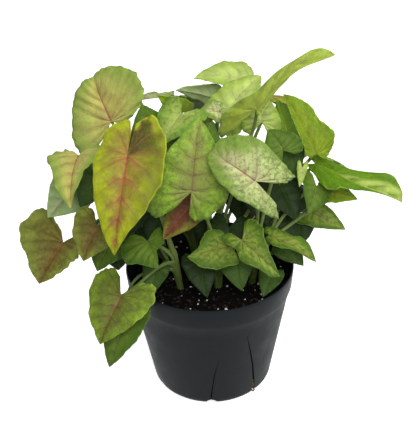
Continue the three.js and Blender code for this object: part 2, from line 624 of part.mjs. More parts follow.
    tone: 'pale' },
  { name: 'leaf_46', stem: 'd', at: [-92, 50, 150], tip: [-122, 68, 116], face: [145, 45], width: 44,
    tone: 'pale' },
  { name: 'leaf_47', stem: 'f', at: [84, 60, 148], tip: [112, 78, 116], face: [35, 45], width: 44,
    tone: 'deep' },
  { name: 'leaf_48', stem: 'g', at: [-8, 88, 146], tip: [-12, 116, 112], face: [92, 40], width: 44,
    tone: 'deep' },
  // small ones that fill in
  { name: 'leaf_49', stem: 'c', at: [54, -34, 130], tip: [46, -50, 118], face: [-90, 50], width: 22,
    tone: 'deep' },
  { name: 'leaf_50', stem: 'g', at: [-4, 30, 244], tip: [-40, 34, 250], face: [-90, 75], width: 40,
    tone: 'pale' },
];

// Small dark leaves inside the clump, each fused by its stalk to the stem that it grows from.
const SHADE_LEAVES = [
  { name: 'shade_02', stem: 'e', at: [-1, -20, 249], tip: [5, -8, 269], face: [-90, 40], width: 30 },
  { name: 'shade_03', stem: 'c', at: [64, -25, 249], tip: [52, -15, 264], face: [-90, 40], width: 36 },
  { name: 'shade_05', stem: 'b', at: [18, -14, 168], tip: [14, -28, 144], face: [-100, 25], width: 34 },
  { name: 'shade_06', stem: 'b', at: [46, 4, 192], tip: [52, -10, 168], face: [-80, 25], width: 34 },
  { name: 'shade_07', stem: 'c', at: [60, 0, 163], tip: [73, -12, 144], face: [-75, 35], width: 34 },
  { name: 'shade_08', stem: 'f', at: [83, 10, 160], tip: [82, 0, 137], face: [-85, 30], width: 32 },
  { name: 'shade_09', stem: 'a', at: [-43, -5, 181], tip: [-53, -18, 157], face: [-95, 25], width: 36 },
  { name: 'shade_10', stem: 'a', at: [-69, -10, 186], tip: [-77, -24, 164], face: [-100, 25], width: 34 },
  { name: 'shade_11', stem: 'd', at: [-84, -5, 152], tip: [-83, -16, 128], face: [-100, 25], width: 40 },
  { name: 'shade_13', stem: 'a', at: [-51, -40, 258], tip: [-53, -32, 284], face: [-90, 20], width: 34 },
  { name: 'shade_14', stem: 'f', at: [83, 8, 191], tip: [77, -2, 172], face: [-80, 30], width: 30 },
  { name: 'shade_16', stem: 'f', at: [24, 54, 220], tip: [34, 78, 196], face: [75, 40], width: 36 },
  { name: 'shade_17', stem: 'g', at: [-66, 34, 186], tip: [-90, 50, 166], face: [150, 40], width: 34 },
  { name: 'shade_18', stem: 'c', at: [80, 42, 182], tip: [98, 60, 160], face: [35, 40], width: 34 },
  { name: 'shade_19', stem: 'g', at: [2, 50, 182], tip: [2, 72, 158], face: [90, 40], width: 36 },
  { name: 'shade_21', stem: 'e', at: [30, 24, 184], tip: [29, 14, 158], face: [-90, 30], width: 34 },
  { name: 'shade_22', stem: 'c', at: [53, 44, 170], tip: [54, 32, 142], face: [-90, 30], width: 44 },
  { name: 'shade_23', stem: 'e', at: [1, 24, 153], tip: [-3, 12, 132], face: [-90, 30], width: 36 },
  { name: 'shade_24', stem: 'd', at: [-71, 4, 154], tip: [-75, -8, 132], face: [-100, 30], width: 34 },
  { name: 'shade_26', stem: 'f', at: [72, -2, 236], tip: [77, -12, 215], face: [-80, 30], width: 26 },
];

// ---------------------------------------------------------------- building

const group = new THREE.Group();
const placed = [];
const keep = (solid, owner) => placed.push({ solid, owner, box: boxOf(solid) });
const othersThan = (owner) => placed.filter((o) => o.owner !== owner);

const pot = makePot();
keep(pot, 'pot');

const stems = Object.entries(STEMS).map(([key, stem]) => {
  const solid = bar(stemFoot(stem), stemTop(stem), STEM.radius, STEM.sides);
  const floor = stemFoot(stem).setZ(SOIL.top - STEM.depth - STEM.holeGap);
  const hole = bar(floor, stemTop(stem), STEM.radius + STEM.holeGap, STEM.sides);
  keep(solid, key);
  return { key, stem, solid, hole };
});

const soil = largestBody(stems.reduce((body, { hole }) => body.subtract(hole), makeSoil()));
keep(soil, 'soil');

// A blade that would cross an earlier one is moved towards the heart of the plant, along its own face or
// sideways, by the least that clears it.
const HEART = new THREE.Vector3(0, 0, 190);
const SHIFTS = [0, 1.5, 3, 4.5, 6, 8, 10, 12, 14, 17, 20];
function placeBlade(entry, index) {
  const leaf = finishLeaf({ ...PLAIN, phase: index, ...entry });
  const home = leaf.at.clone();
  const inward = HEART.clone().sub(home).normalize();
  const ways = [inward, leaf.up.clone().negate(), leaf.up, leaf.left, leaf.left.clone().negate()];
  for (const shift of SHIFTS) {
    for (const way of shift ? ways : [inward]) {
      leaf.at.copy(home).addScaledVector(way, shift);
      if (isClear(bladeSolid(leaf, CLEAR, CLEAR), placed)) {
        keep(bladeSolid(leaf), leaf.name);
        return leaf;
      }
    }
  }
  throw new Error(`${entry.name} has no clear place`);
}
const leaves = LEAVES.map(placeBlade);

// A shade leaf stays where the plan has it.
function placeShadeLeaf(entry, index) {
  const leaf = finishLeaf({ ...PLAIN, phase: index, shade: true, ...entry });
  if (!isClear(bladeSolid(leaf, CLEAR, CLEAR), placed)) throw new Error(`${entry.name} has no clear place`);
  keep(bladeSolid(leaf), entry.stem);
  return leaf;
}
const shadeLeaves = SHADE_LEAVES.map(placeShadeLeaf);

// A stalk bows by the least that takes it clear of the soil, the pot, every blade and the other stems.
const BOWS = [0, 6, 12, 18, 26, 36, 48];
const BOW_HEADINGS = 8;
function placeStalk(leaf, stem, key, low) {
  const { radius, sides, steps } = leaf.shade ? SHADE_STALK : STALK;
  const others = othersThan(key).filter((o) => o.owner !== leaf.name);
  const own = !leaf.shade && bladeSolid(leaf, GAP - 0.1, GAP);
  for (const size of BOWS) {
    for (let turn = 0; turn < (size ? BOW_HEADINGS : 1); turn++) {
      const heading = (2 * Math.PI * turn) / BOW_HEADINGS;
      for (const lift of size ? [0, size / 2, -size / 2] : [0]) {
        const bow = new THREE.Vector3(size * Math.cos(heading), size * Math.sin(heading), lift);
        const path = stalkPath(leaf, stem, low, bow);
        const solid = solidOf(tube(path, radius, sides, steps));
        const wide = solidOf(tube(path, radius + CLEAR, sides, steps));
        if (isClear(wide, others) && (leaf.shade || solid.intersect(own).volume() < 1e-6)) {
          keep(solid, key);
          return solid;
        }
      }
    }
  }
  throw new Error(`the stalk of ${leaf.name} has no clear way`);
}

group.add(piece('pot', pot, MATERIALS.pot), piece('soil', soil, MATERIALS.soil));
for (const { key, stem, solid } of stems) {
  const own = [...leaves, ...shadeLeaves].filter((leaf) => leaf.stem === key);
  let body = solid;
  own.forEach((leaf, i) => {
    body = body.add(placeStalk(leaf, stem, key, i / own.length));
    if (leaf.shade) body = body.add(bladeSolid(leaf));
  });
  group.add(piece(`stalks_${key}`, largestBody(body), MATERIALS.stalk));
}
for (const leaf of leaves) group.add(piece(leaf.name, bladeSolid(leaf), MATERIALS[leaf.tone]));

export default group;
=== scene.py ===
# %% [markdown]
# # An arrowhead plant in its nursery pot
# The solid model of the plant is loaded as a fixed frame: the pot, the soil, seven stems with their leaf
# stalks and fifty blades, each a plain faceted body. This file gives every one of them its real surface.
# All lengths below are written in millimetres, as they would be measured on the plant, and MM turns them
# into Blender's metres.

# %% Load the frame
import math
import random
from types import SimpleNamespace

import bpy
import numpy as np
from mathutils import Matrix, Vector
from mathutils.bvhtree import BVHTree


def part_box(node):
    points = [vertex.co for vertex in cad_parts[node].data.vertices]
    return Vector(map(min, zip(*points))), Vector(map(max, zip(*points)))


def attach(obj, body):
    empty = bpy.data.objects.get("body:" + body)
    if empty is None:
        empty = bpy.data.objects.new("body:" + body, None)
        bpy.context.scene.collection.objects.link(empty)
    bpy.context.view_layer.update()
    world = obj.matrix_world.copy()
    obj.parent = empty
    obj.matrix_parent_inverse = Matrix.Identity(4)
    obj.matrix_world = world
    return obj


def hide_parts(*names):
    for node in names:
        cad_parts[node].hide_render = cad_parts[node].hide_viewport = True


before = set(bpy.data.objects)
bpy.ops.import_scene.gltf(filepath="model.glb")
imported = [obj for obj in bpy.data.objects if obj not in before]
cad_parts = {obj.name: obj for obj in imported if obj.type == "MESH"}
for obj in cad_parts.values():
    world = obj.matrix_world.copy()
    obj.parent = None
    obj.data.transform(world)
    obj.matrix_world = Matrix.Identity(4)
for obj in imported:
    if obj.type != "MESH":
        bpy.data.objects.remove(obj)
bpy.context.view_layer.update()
MM = 0.001
WELD = 0.02
BODY = "root"


# %% [markdown]
# ## The camera
# A product picture of a plant is taken from about a metre away with a long lens, a little from above, so
# that the pot keeps its shape and the leaves are seen from their upper side. The camera stands on a line
# that leaves the plant's middle at CAMERA_RISE degrees, and is turned a little about that line.

# %% Camera
CAMERA_DISTANCE = 900
CAMERA_RISE = 30.06
CAMERA_ROLL = -1.7
CAMERA_AIM = Vector((-2.7, 0, 169.1))
IMAGE_SIZE = (411, 440)
FOCAL_PIXELS = 998.8
SENSOR = 36


def aim_camera():
    """The camera, with its axes made from the line of sight and its roll."""
    rise, roll = math.radians(CAMERA_RISE), math.radians(CAMERA_ROLL)
    back = Vector((0, -math.cos(rise), math.sin(rise)))
    level = Vector((1, 0, 0))
    upright = back.cross(level)
    right = level * math.cos(roll) + upright * math.sin(roll)
    above = upright * math.cos(roll) - level * math.sin(roll)
    bpy.ops.object.camera_add()
    camera = bpy.context.object
    axes = Matrix((right, above, back)).transposed().to_4x4()
    camera.matrix_world = Matrix.Translation((CAMERA_AIM + back * CAMERA_DISTANCE) * MM) @ axes
    camera.data.sensor_width = SENSOR
    camera.data.lens = SENSOR * FOCAL_PIXELS / max(IMAGE_SIZE)
    bpy.context.scene.camera = camera
    return camera


print("camera lens", round(aim_camera().data.lens, 1))


# %% [markdown]
# ## Small helpers
# Colours are picked as sRGB hex values and turned to linear light by one function. One more adds a node to
# a material with its settings and links, and gives back the output that is wanted. The others wrap the
# steps that every piece goes through: nothing selected, a modifier added and applied at once, and the
# finished piece handed to the frame.

# %% Helpers
def linear(hexa, alpha=1.0):
    """An sRGB hex colour as the linear colour that a node socket takes."""
    parts = [int(hexa[i:i + 2], 16) / 255 for i in (1, 3, 5)]
    return (*[c / 12.92 if c <= 0.04045 else ((c + 0.055) / 1.055) ** 2.4 for c in parts], alpha)


def fill(node, inputs):
    """Fills a node's inputs. An input is a value, or another node's output socket."""
    for key, value in inputs.items():
        if isinstance(value, bpy.types.NodeSocket):
            node.id_data.links.new(value, node.inputs[key])
        else:
            node.inputs[key].default_value = value


def add_node(tree, kind, inputs, out=0, **settings):
    """Adds a shader node with its settings and inputs, and returns one of its output sockets."""
    made = tree.nodes.new("ShaderNode" + kind)
    for key, value in settings.items():
        setattr(made, key, value)
    fill(made, inputs)
    return made.outputs[out]


def new_material(name):
    """An empty material: itself, its tree and its Principled shader."""
    material = bpy.data.materials.new(name)
    material.use_nodes = True
    return material, material.node_tree, material.node_tree.nodes["Principled BSDF"]


def select_only(piece):
    bpy.ops.object.select_all(action="DESELECT")
    piece.select_set(True)
    bpy.context.view_layer.objects.active = piece


def modify(piece, kind, **settings):
    """Adds a modifier with its settings and applies it."""
    select_only(piece)
    modifier = piece.modifiers.new(kind.title(), kind)
    for key, value in settings.items():
        setattr(modifier, key, value)
    bpy.ops.object.modifier_apply(modifier=modifier.name)


def loose_copy(node):
    """A copy of a solid node, free of the frame and of its material."""
    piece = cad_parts[node].copy()
    piece.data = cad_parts[node].data.copy()
    for key in list(piece.keys()):
        if key.startswith("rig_"):
            del piece[key]
    piece.parent = None
    bpy.context.collection.objects.link(piece)
    piece.data.materials.clear()
    return piece


def merge_points(piece):
    """Merges the doubled points of a mesh and leaves nothing in it selected."""
    select_only(piece)
    bpy.ops.object.mode_set(mode="EDIT")
    bpy.ops.mesh.select_mode(type="VERT")
    bpy.ops.mesh.select_all(action="SELECT")
    bpy.ops.mesh.remove_doubles(threshold=WELD * MM)
    bpy.ops.mesh.select_all(action="DESELECT")
    bpy.ops.object.mode_set(mode="OBJECT")


def finish_piece(piece, name, slot, *nodes):
    """Names a finished piece, hangs it on the body and hides the nodes that it stands for."""
    piece.name = name
    piece.data.name = name
    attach(piece, BODY)
    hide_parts(*nodes)
    return piece


def join_all(pieces, name, slot, node):
    """Joins pieces into one and finishes it."""
    select_only(pieces[0])
    for piece in pieces:
        piece.select_set(True)
    bpy.ops.object.join()
    return finish_piece(pieces[0], name, slot, node)


# %% [markdown]
# ## The blade
# The blade of an arrowhead plant is a shield with a drawn-out tip and two back lobes, and the stalk meets
# it in the notch between the lobes. Half of its edge is a short list of points. The first number runs
# along the midrib, in midrib lengths from the stalk, and the second across, in blade widths. A smooth
# curve goes through them. Straight spokes run from the midrib, and behind the stalk from the stalk's end,
# out to this edge. They lie much as the side veins do, so the veins can be drawn along them later.

# %% The outline
TIP = (1, 0)
EDGE = [(0.8, 0.15), (0.45, 0.36), (0.1, 0.48), (-0.2, 0.5), (-0.41, 0.42), (-0.48, 0.29), (-0.36, 0.15)]
SPOKES = len(EDGE)
FIRST_LOBE_SPOKE = 3
LOBE_START = 0.1  # the lobes begin this far ahead of the stalk, in midrib lengths
LOBE_FADE = 0.3  # and differ fully this much further back
LOBE_ROOT = 0.3  # the lobes have turned fully this far behind the stalk

# the left and the right edge of each leaf that is lopsided, folded or partly turned under
OUTLINES = {
    "leaf_01": (
        [(0.77, 0.14), (0.48, 0.36), (0.2, 0.48), (-0.1, 0.48), (-0.33, 0.38), (-0.46, 0.2), (-0.35, 0.03)],
        [(0.76, 0.18), (0.48, 0.32), (0.18, 0.4), (-0.02, 0.38), (-0.26, 0.28), (-0.38, 0.08),
         (-0.27, 0.01)],
    ),
    "leaf_03": (
        [(0.92, 0.13), (0.66, 0.24), (0.24, 0.32), (-0.12, 0.29), (-0.48, 0.25), (-0.84, 0.19),
         (-0.64, 0.06)],
        [(0.95, 0.2), (0.74, 0.35), (0.34, 0.46), (-0.2, 0.4), (-0.54, 0.38), (-0.58, 0.28), (-0.32, 0.12)],
    ),
    "leaf_05": (
        [(0.98, 0.12), (0.82, 0.27), (0.54, 0.38), (0.1, 0.5), (-0.24, 0.53), (-0.34, 0.36), (-0.17, 0.13)],
        [(1.05, 0.13), (0.9, 0.37), (0.62, 0.52), (0.3, 0.55), (0.04, 0.45), (-0.1, 0.28), (-0.13, 0.09)],
    ),
    "leaf_06": (
        [(0.9, 0.28), (0.7, 0.43), (0.48, 0.3), (0.3, 0.21), (0.13, 0.19), (-0.06, 0.3), (-0.22, 0.24)],
        [(0.87, 0.04), (0.63, 0.1), (0.42, 0.27), (0.25, 0.46), (0.1, 0.33), (-0.01, 0.2), (-0.08, 0.08)],
    ),
    "leaf_07": (
        [(0.86, 0.2), (0.56, 0.1), (0.14, 0.22), (-0.2, 0.38), (-0.44, 0.36), (-0.57, 0.12), (-0.29, 0.02)],
        [(0.78, 0.06), (0.47, 0.12), (0.18, 0.09), (0.1, 0.1), (0.05, 0.12), (0, 0.14), (-0.03, 0.07)],
    ),
    "leaf_08": (
        [(0.7, 0.22), (0.38, 0.33), (0.14, 0.36), (-0.06, 0.32), (-0.2, 0.24), (-0.2, 0.12), (-0.1, 0.05)],
        [(0.84, 0.17), (0.6, 0.34), (0.36, 0.54), (0.04, 0.66), (-0.46, 0.58), (-0.42, 0.37), (-0.21, 0.12)],
    ),
    "leaf_09": (
        [(0.68, 0.13), (0.37, 0.3), (0.18, 0.46), (0.06, 0.5), (-0.06, 0.4), (-0.12, 0.22), (-0.06, 0.05)],
        [(0.69, 0.24), (0.38, 0.36), (0.12, 0.5), (-0.08, 0.48), (-0.18, 0.36), (-0.16, 0.2), (-0.08, 0.1)],
    ),
    "leaf_10": (
        [(0.78, 0.25), (0.54, 0.42), (0.34, 0.3), (0.12, 0.32), (-0.11, 0.3), (-0.28, 0.2), (-0.22, 0.04)],
        [(0.84, 0.07), (0.6, 0.09), (0.4, 0.17), (0.21, 0.29), (0.05, 0.25), (-0.1, 0.14), (-0.11, 0.03)],
    ),
    "leaf_11": (
        [(0.88, 0.06), (0.65, 0.17), (0.46, 0.27), (0.24, 0.41), (0.07, 0.54), (-0.18, 0.51), (-0.24, 0.35)],
        [(0.88, 0.16), (0.61, 0.22), (0.32, 0.36), (0.05, 0.26), (-0.19, 0.3), (-0.41, 0.26), (-0.29, 0.05)],
    ),
    "leaf_12": (
        [(0.92, 0.15), (0.78, 0.34), (0.54, 0.46), (0.22, 0.49), (-0.08, 0.44), (-0.11, 0.25), (-0.04, 0.1)],
        [(0.86, 0.06), (0.68, 0.17), (0.57, 0.35), (0.39, 0.48), (0.15, 0.47), (0.03, 0.31), (-0.01, 0.12)],
    ),
    "leaf_14": (
        [(0.69, 0.06), (0.43, 0.1), (0.38, 0.19), (0.22, 0.3), (-0.18, 0.34), (-0.35, 0.27), (-0.13, 0.09)],
        [(0.92, 0.12), (0.66, 0.31), (0.45, 0.54), (0.03, 0.58), (-0.3, 0.44), (-0.43, 0.2), (-0.24, 0.05)],
    ),
    "leaf_15": (
        [(0.9, 0.04), (0.72, 0.11), (0.56, 0.14), (0.39, 0.17), (0.22, 0.19), (0.06, 0.22), (-0.01, 0.16)],
        [(0.82, 0.2), (0.63, 0.31), (0.39, 0.35), (0.25, 0.45), (0.1, 0.45), (-0.05, 0.29), (-0.14, 0.1)],
    ),
}


def edge_point(points, spoke):
    """The edge at any place between the tip and the listed points, on a Catmull-Rom curve."""
    points = np.array([TIP, *points], float)
    ends = np.vstack([2 * points[0] - points[1], points, 2 * points[-1] - points[-2]])
    i = np.clip(spoke.astype(int), 0, SPOKES - 1)
    f = (spoke - i)[:, None]
    a, b, c, d = (ends[i + k] for k in range(4))
    return b + 0.5 * f * (c - a + f * (2 * a - 5 * b + 4 * c - d + f * (3 * (b - c) + d - a)))


def plain_edge(leaf, spoke, side):
    """The plain edge, with its back lobes stretched, spread and swayed, in mm."""
    u, v = edge_point(EDGE, spoke).T
    lobe = np.clip((LOBE_START - u) / LOBE_FADE, 0, 1)
    u, v = u * leaf["length"], v * leaf["width"]
    v = v * (1 + lobe * np.minimum(0, side * leaf["skew"]))
    u = np.where(u < 0, u * leaf["lobe"] * (1 + side * leaf["skew"]), u)
    turn = np.radians(leaf["spread"] + side * leaf["sway"]) * np.clip(-u / (LOBE_ROOT * leaf["length"]), 0, 1)
    return u * np.cos(turn) + v * np.sin(turn), v * np.cos(turn) - u * np.sin(turn)


def own_edge(leaf, spoke, side):
    """The edge of a leaf that has its own list, in mm."""
    halves = [edge_point(points, spoke) for points in OUTLINES[leaf["name"]]]
    u, v = np.where(side[:, None] > 0, *halves).T
    return u * leaf["length"], v * leaf["width"]


# the margin is never quite even: it has shallow nicks
COARSE_NICKS = 0.7  # for each spoke
SMALL_NICKS = 1.9
NICK_DEPTH = 0.018  # as a share of the spoke


def flat_point(leaf, spoke, side, share):
    """The place in the flat blade on a spoke, at a share of the way from the midrib to the edge."""
    edge = own_edge if leaf["name"] in OUTLINES else plain_edge
    u, v = edge(leaf, spoke, side)
    start = np.maximum(0, 1 - spoke / FIRST_LOBE_SPOKE) * leaf["length"]
    coarse = np.sin(2 * np.pi * COARSE_NICKS * spoke + 5 * leaf["phase"] + side)
    small = np.sin(2 * np.pi * SMALL_NICKS * spoke + 3 * leaf["phase"] - 2 * side)
    share = share + NICK_DEPTH * share ** 5 * (coarse + small / 2)
    return start + (u - start) * share, v * share


# %% [markdown]
# ## How a blade hangs
# A grown blade isn't flat. Its midrib bends down and its tip may curl, the halves fold up from the midrib,
# each half is cupped, and the margin ripples. Each of these is one number in degrees or millimetres. The
# same rules made the solid blades, so the fine blade follows the solid one, and it is then moved by the
# difference between the middles of their boxes.

# %% The shaped blade
RIB_STEPS = 16
WAVES_PER_LENGTH = 1.6
WAVE_LAG = 1.2  # the two sides of a blade don't ripple together
SEAM_REACH = 2  # both halves face the same way at the midrib, and their own way from here on


def unit(vector):
    return vector / np.linalg.norm(vector)


def slope_at(leaf, s):
    return -math.radians(leaf["bend"]) * s - math.radians(leaf["curl"]) * np.maximum(0, s) ** 3


def rib_point(leaf, s):
    """How far along and up the midrib is after a share of its length."""
    s = np.asarray(s, float)
    middles = s[..., None] * (np.arange(RIB_STEPS) + 0.5) / RIB_STEPS
    slopes = slope_at(leaf, middles)
    return np.cos(slopes).mean(-1) * s, np.sin(slopes).mean(-1) * s


def leaf_frame(leaf):
    """The leaf with its axes, its real midrib length and the slope at which it starts."""
    at, tip = np.array(leaf["at"], float), np.array(leaf["tip"], float)
    forward = unit(tip - at)
    heading, elevation = np.radians(leaf["face"])
    up = np.array([
        math.cos(elevation) * math.cos(heading), math.cos(elevation) * math.sin(heading), math.sin(elevation),
    ])
    up = unit(up - forward * up.dot(forward))
    along, rise = rib_point(leaf, 1.0)
    length = np.linalg.norm(tip - at) / math.hypot(along, rise)
    return {
        **leaf, "at": at, "forward": forward, "up": up, "left": np.cross(up, forward),
        "length": length, "pitch": -math.atan2(rise, along),
    }


def blade_point(leaf, u, v, side):
    """The place of a flat point on the hanging blade, and the way the face looks there."""
    s = u / leaf["length"]
    along, rise = (x * leaf["length"] for x in rib_point(leaf, s))
    slope = (slope_at(leaf, s) + leaf["pitch"])[:, None]
    cos, sin = math.cos(leaf["pitch"]), math.sin(leaf["pitch"])
    normal = leaf["up"] * np.cos(slope) - leaf["forward"] * np.sin(slope)
    out = v / (leaf["width"] / 2)
    lift = np.radians(leaf["fold"] + leaf["cup"] * out / 2)
    swing = np.sin(2 * np.pi * WAVES_PER_LENGTH * s + side * WAVE_LAG + leaf["phase"])
    wave = leaf["wave"] * out ** 2 * swing
    sweep = leaf["sweep"] * np.sin(np.pi * np.clip(s, 0, 1)) ** 2
    spot = leaf["at"] + leaf["forward"] * (along * cos - rise * sin)[:, None]
    spot = spot + leaf["up"] * (along * sin + rise * cos)[:, None]
    spot = spot + leaf["left"] * (side * v * np.cos(lift) + sweep)[:, None]
    spot = spot + normal * (v * np.sin(lift) + wave)[:, None]
    turn = lift * np.clip(v / SEAM_REACH, 0, 1)
    facing = normal * np.cos(turn)[:, None] - leaf["left"] * (side * np.sin(turn))[:, None]
    return spot, facing


# %% [markdown]
# ## The flat pattern
# One sheet is modelled and copied for every leaf: a grid whose left and right halves are the two halves of
# the blade. Across the grid runs the spoke number and up the grid the share of the way out to the edge.
# The rows are closer together next to the midrib, where the blade is modelled in relief.

# %% Pattern sheets
FINE = {"spokes": 12, "rows": 16}
COARSE = {"spokes": 6, "rows": 9}
LARGE_WIDTH = 36
ROW_CROWDING = 1.5
BLADE_UV = "Blade"
VEIN_UV = "Veins"
VEIN_UV_SCALE = 10  # vein numbers for each unit of the vein map
BLADE_UV_SCALE = 100  # millimetres for each unit of the blade map


def make_pattern(name, spokes, rows):
    """A grid from -1 to 1 both ways, with so many steps for each of the 7 spokes on either side."""
    bpy.ops.mesh.primitive_grid_add(x_subdivisions=2 * SPOKES * spokes, y_subdivisions=rows, size=2)
    sheet = bpy.context.object
    sheet.name = name
    sheet.data.uv_layers[0].name = VEIN_UV
    sheet.data.uv_layers.new(name=BLADE_UV)
    return sheet


patterns = {True: make_pattern("fine_pattern", **FINE), False: make_pattern("coarse_pattern", **COARSE)}
print("patterns:", [len(p.data.vertices) for p in patterns.values()])


# %% [markdown]
# ## Veins and relief
# Side veins leave the midrib at an angle and arch towards the tip as they near the margin, and three more
# fan out into each back lobe. They are sunk into the upper face, and the skin between two of them is puffed
# up like a quilt. Every place on a blade gets a vein number here, whole on a vein. It shapes the furrows now
# and draws the veins' colour later. The margin has a ripple of its own, and since no grown blade is quite
# even, a slow buckle runs over all of it.

# %% Vein number and relief of the upper face
VEINS_AHEAD = 1.6  # side veins for each spoke beside the midrib
VEINS_BEHIND = 0.8  # and for each spoke in a back lobe
VEIN_ARCH = 0.45
FULL_WIDTH = 60  # a blade as wide as this has the full relief
FULL_HALF = 12  # and so has a place where its half is as wide as this
MIDRIB_SHARE = 0.05
QUILT = 1.7
QUILT_FULLNESS = 0.6  # below 1 the skin is puffed up right beside a vein
QUILT_LEAN = 0.8
LOBE_QUILT = 0.6
MIDRIB_FURROW = 0.6
MIDRIB_REACH = 1.8
BUCKLE = 0.9
BUCKLE_ALONG = 13
BUCKLE_ACROSS = 9
RIPPLE = 1.2
SLOW_RIPPLE = 0.9  # for each spoke
FAST_RIPPLE = 2.1


def vein_number(spoke, share):
    """Where a place lies among the veins, as a number that is whole on a vein."""
    ahead = np.minimum(spoke, FIRST_LOBE_SPOKE)
    return VEINS_AHEAD * ahead + VEINS_BEHIND * (spoke - ahead) + VEIN_ARCH * share ** 2


def relief(leaf, spoke, side, share, u, v):
    """How far the skin stands out from the smooth blade, in mm."""
    size = min(1, leaf["width"] / FULL_WIDTH)
    room = np.clip(v / np.maximum(share, MIDRIB_SHARE) / FULL_HALF, 0, 1)
    between = np.abs(np.sin(np.pi * vein_number(spoke, share))) ** QUILT_FULLNESS
    inside = np.sin(np.pi * np.clip(share, 0, 1) ** QUILT_LEAN)
    quilt = QUILT * room * between * inside * np.where(spoke > FIRST_LOBE_SPOKE, LOBE_QUILT, 1)
    furrow = MIDRIB_FURROW * np.exp(-((v / MIDRIB_REACH) ** 2)) * (spoke < FIRST_LOBE_SPOKE)
    start = leaf["phase"]
    swell = np.sin(u / BUCKLE_ALONG + 2 * start) * np.sin(side * v / BUCKLE_ACROSS + start)
    buckle = BUCKLE * room * share * swell
    slow = np.sin(2 * np.pi * SLOW_RIPPLE * spoke + 2 * start + side)
    fast = np.sin(2 * np.pi * FAST_RIPPLE * spoke + 3 * start - side)
    return size * (quilt - furrow + buckle + RIPPLE * room * share ** 4 * (slow + fast / 2))


# %% [markdown]
# ## The leaves
# Every leaf by its own numbers: where its stalk meets it, its tip, the way its upper face looks, as a
# heading and an elevation in degrees, its width, and its look. PLAIN holds what most of them share.

# %% Leaf list
PLAIN = dict(bend=28, curl=0, fold=8, cup=-12, wave=1.2, sweep=0, lobe=1, spread=4, sway=0, skew=0)


def grown(at, tip, face, width, look="shade", **more):
    """The numbers of one leaf. Any that aren't given are as on most of them."""
    return {"at": at, "tip": tip, "face": face, "width": width, "look": look, **PLAIN, **more}


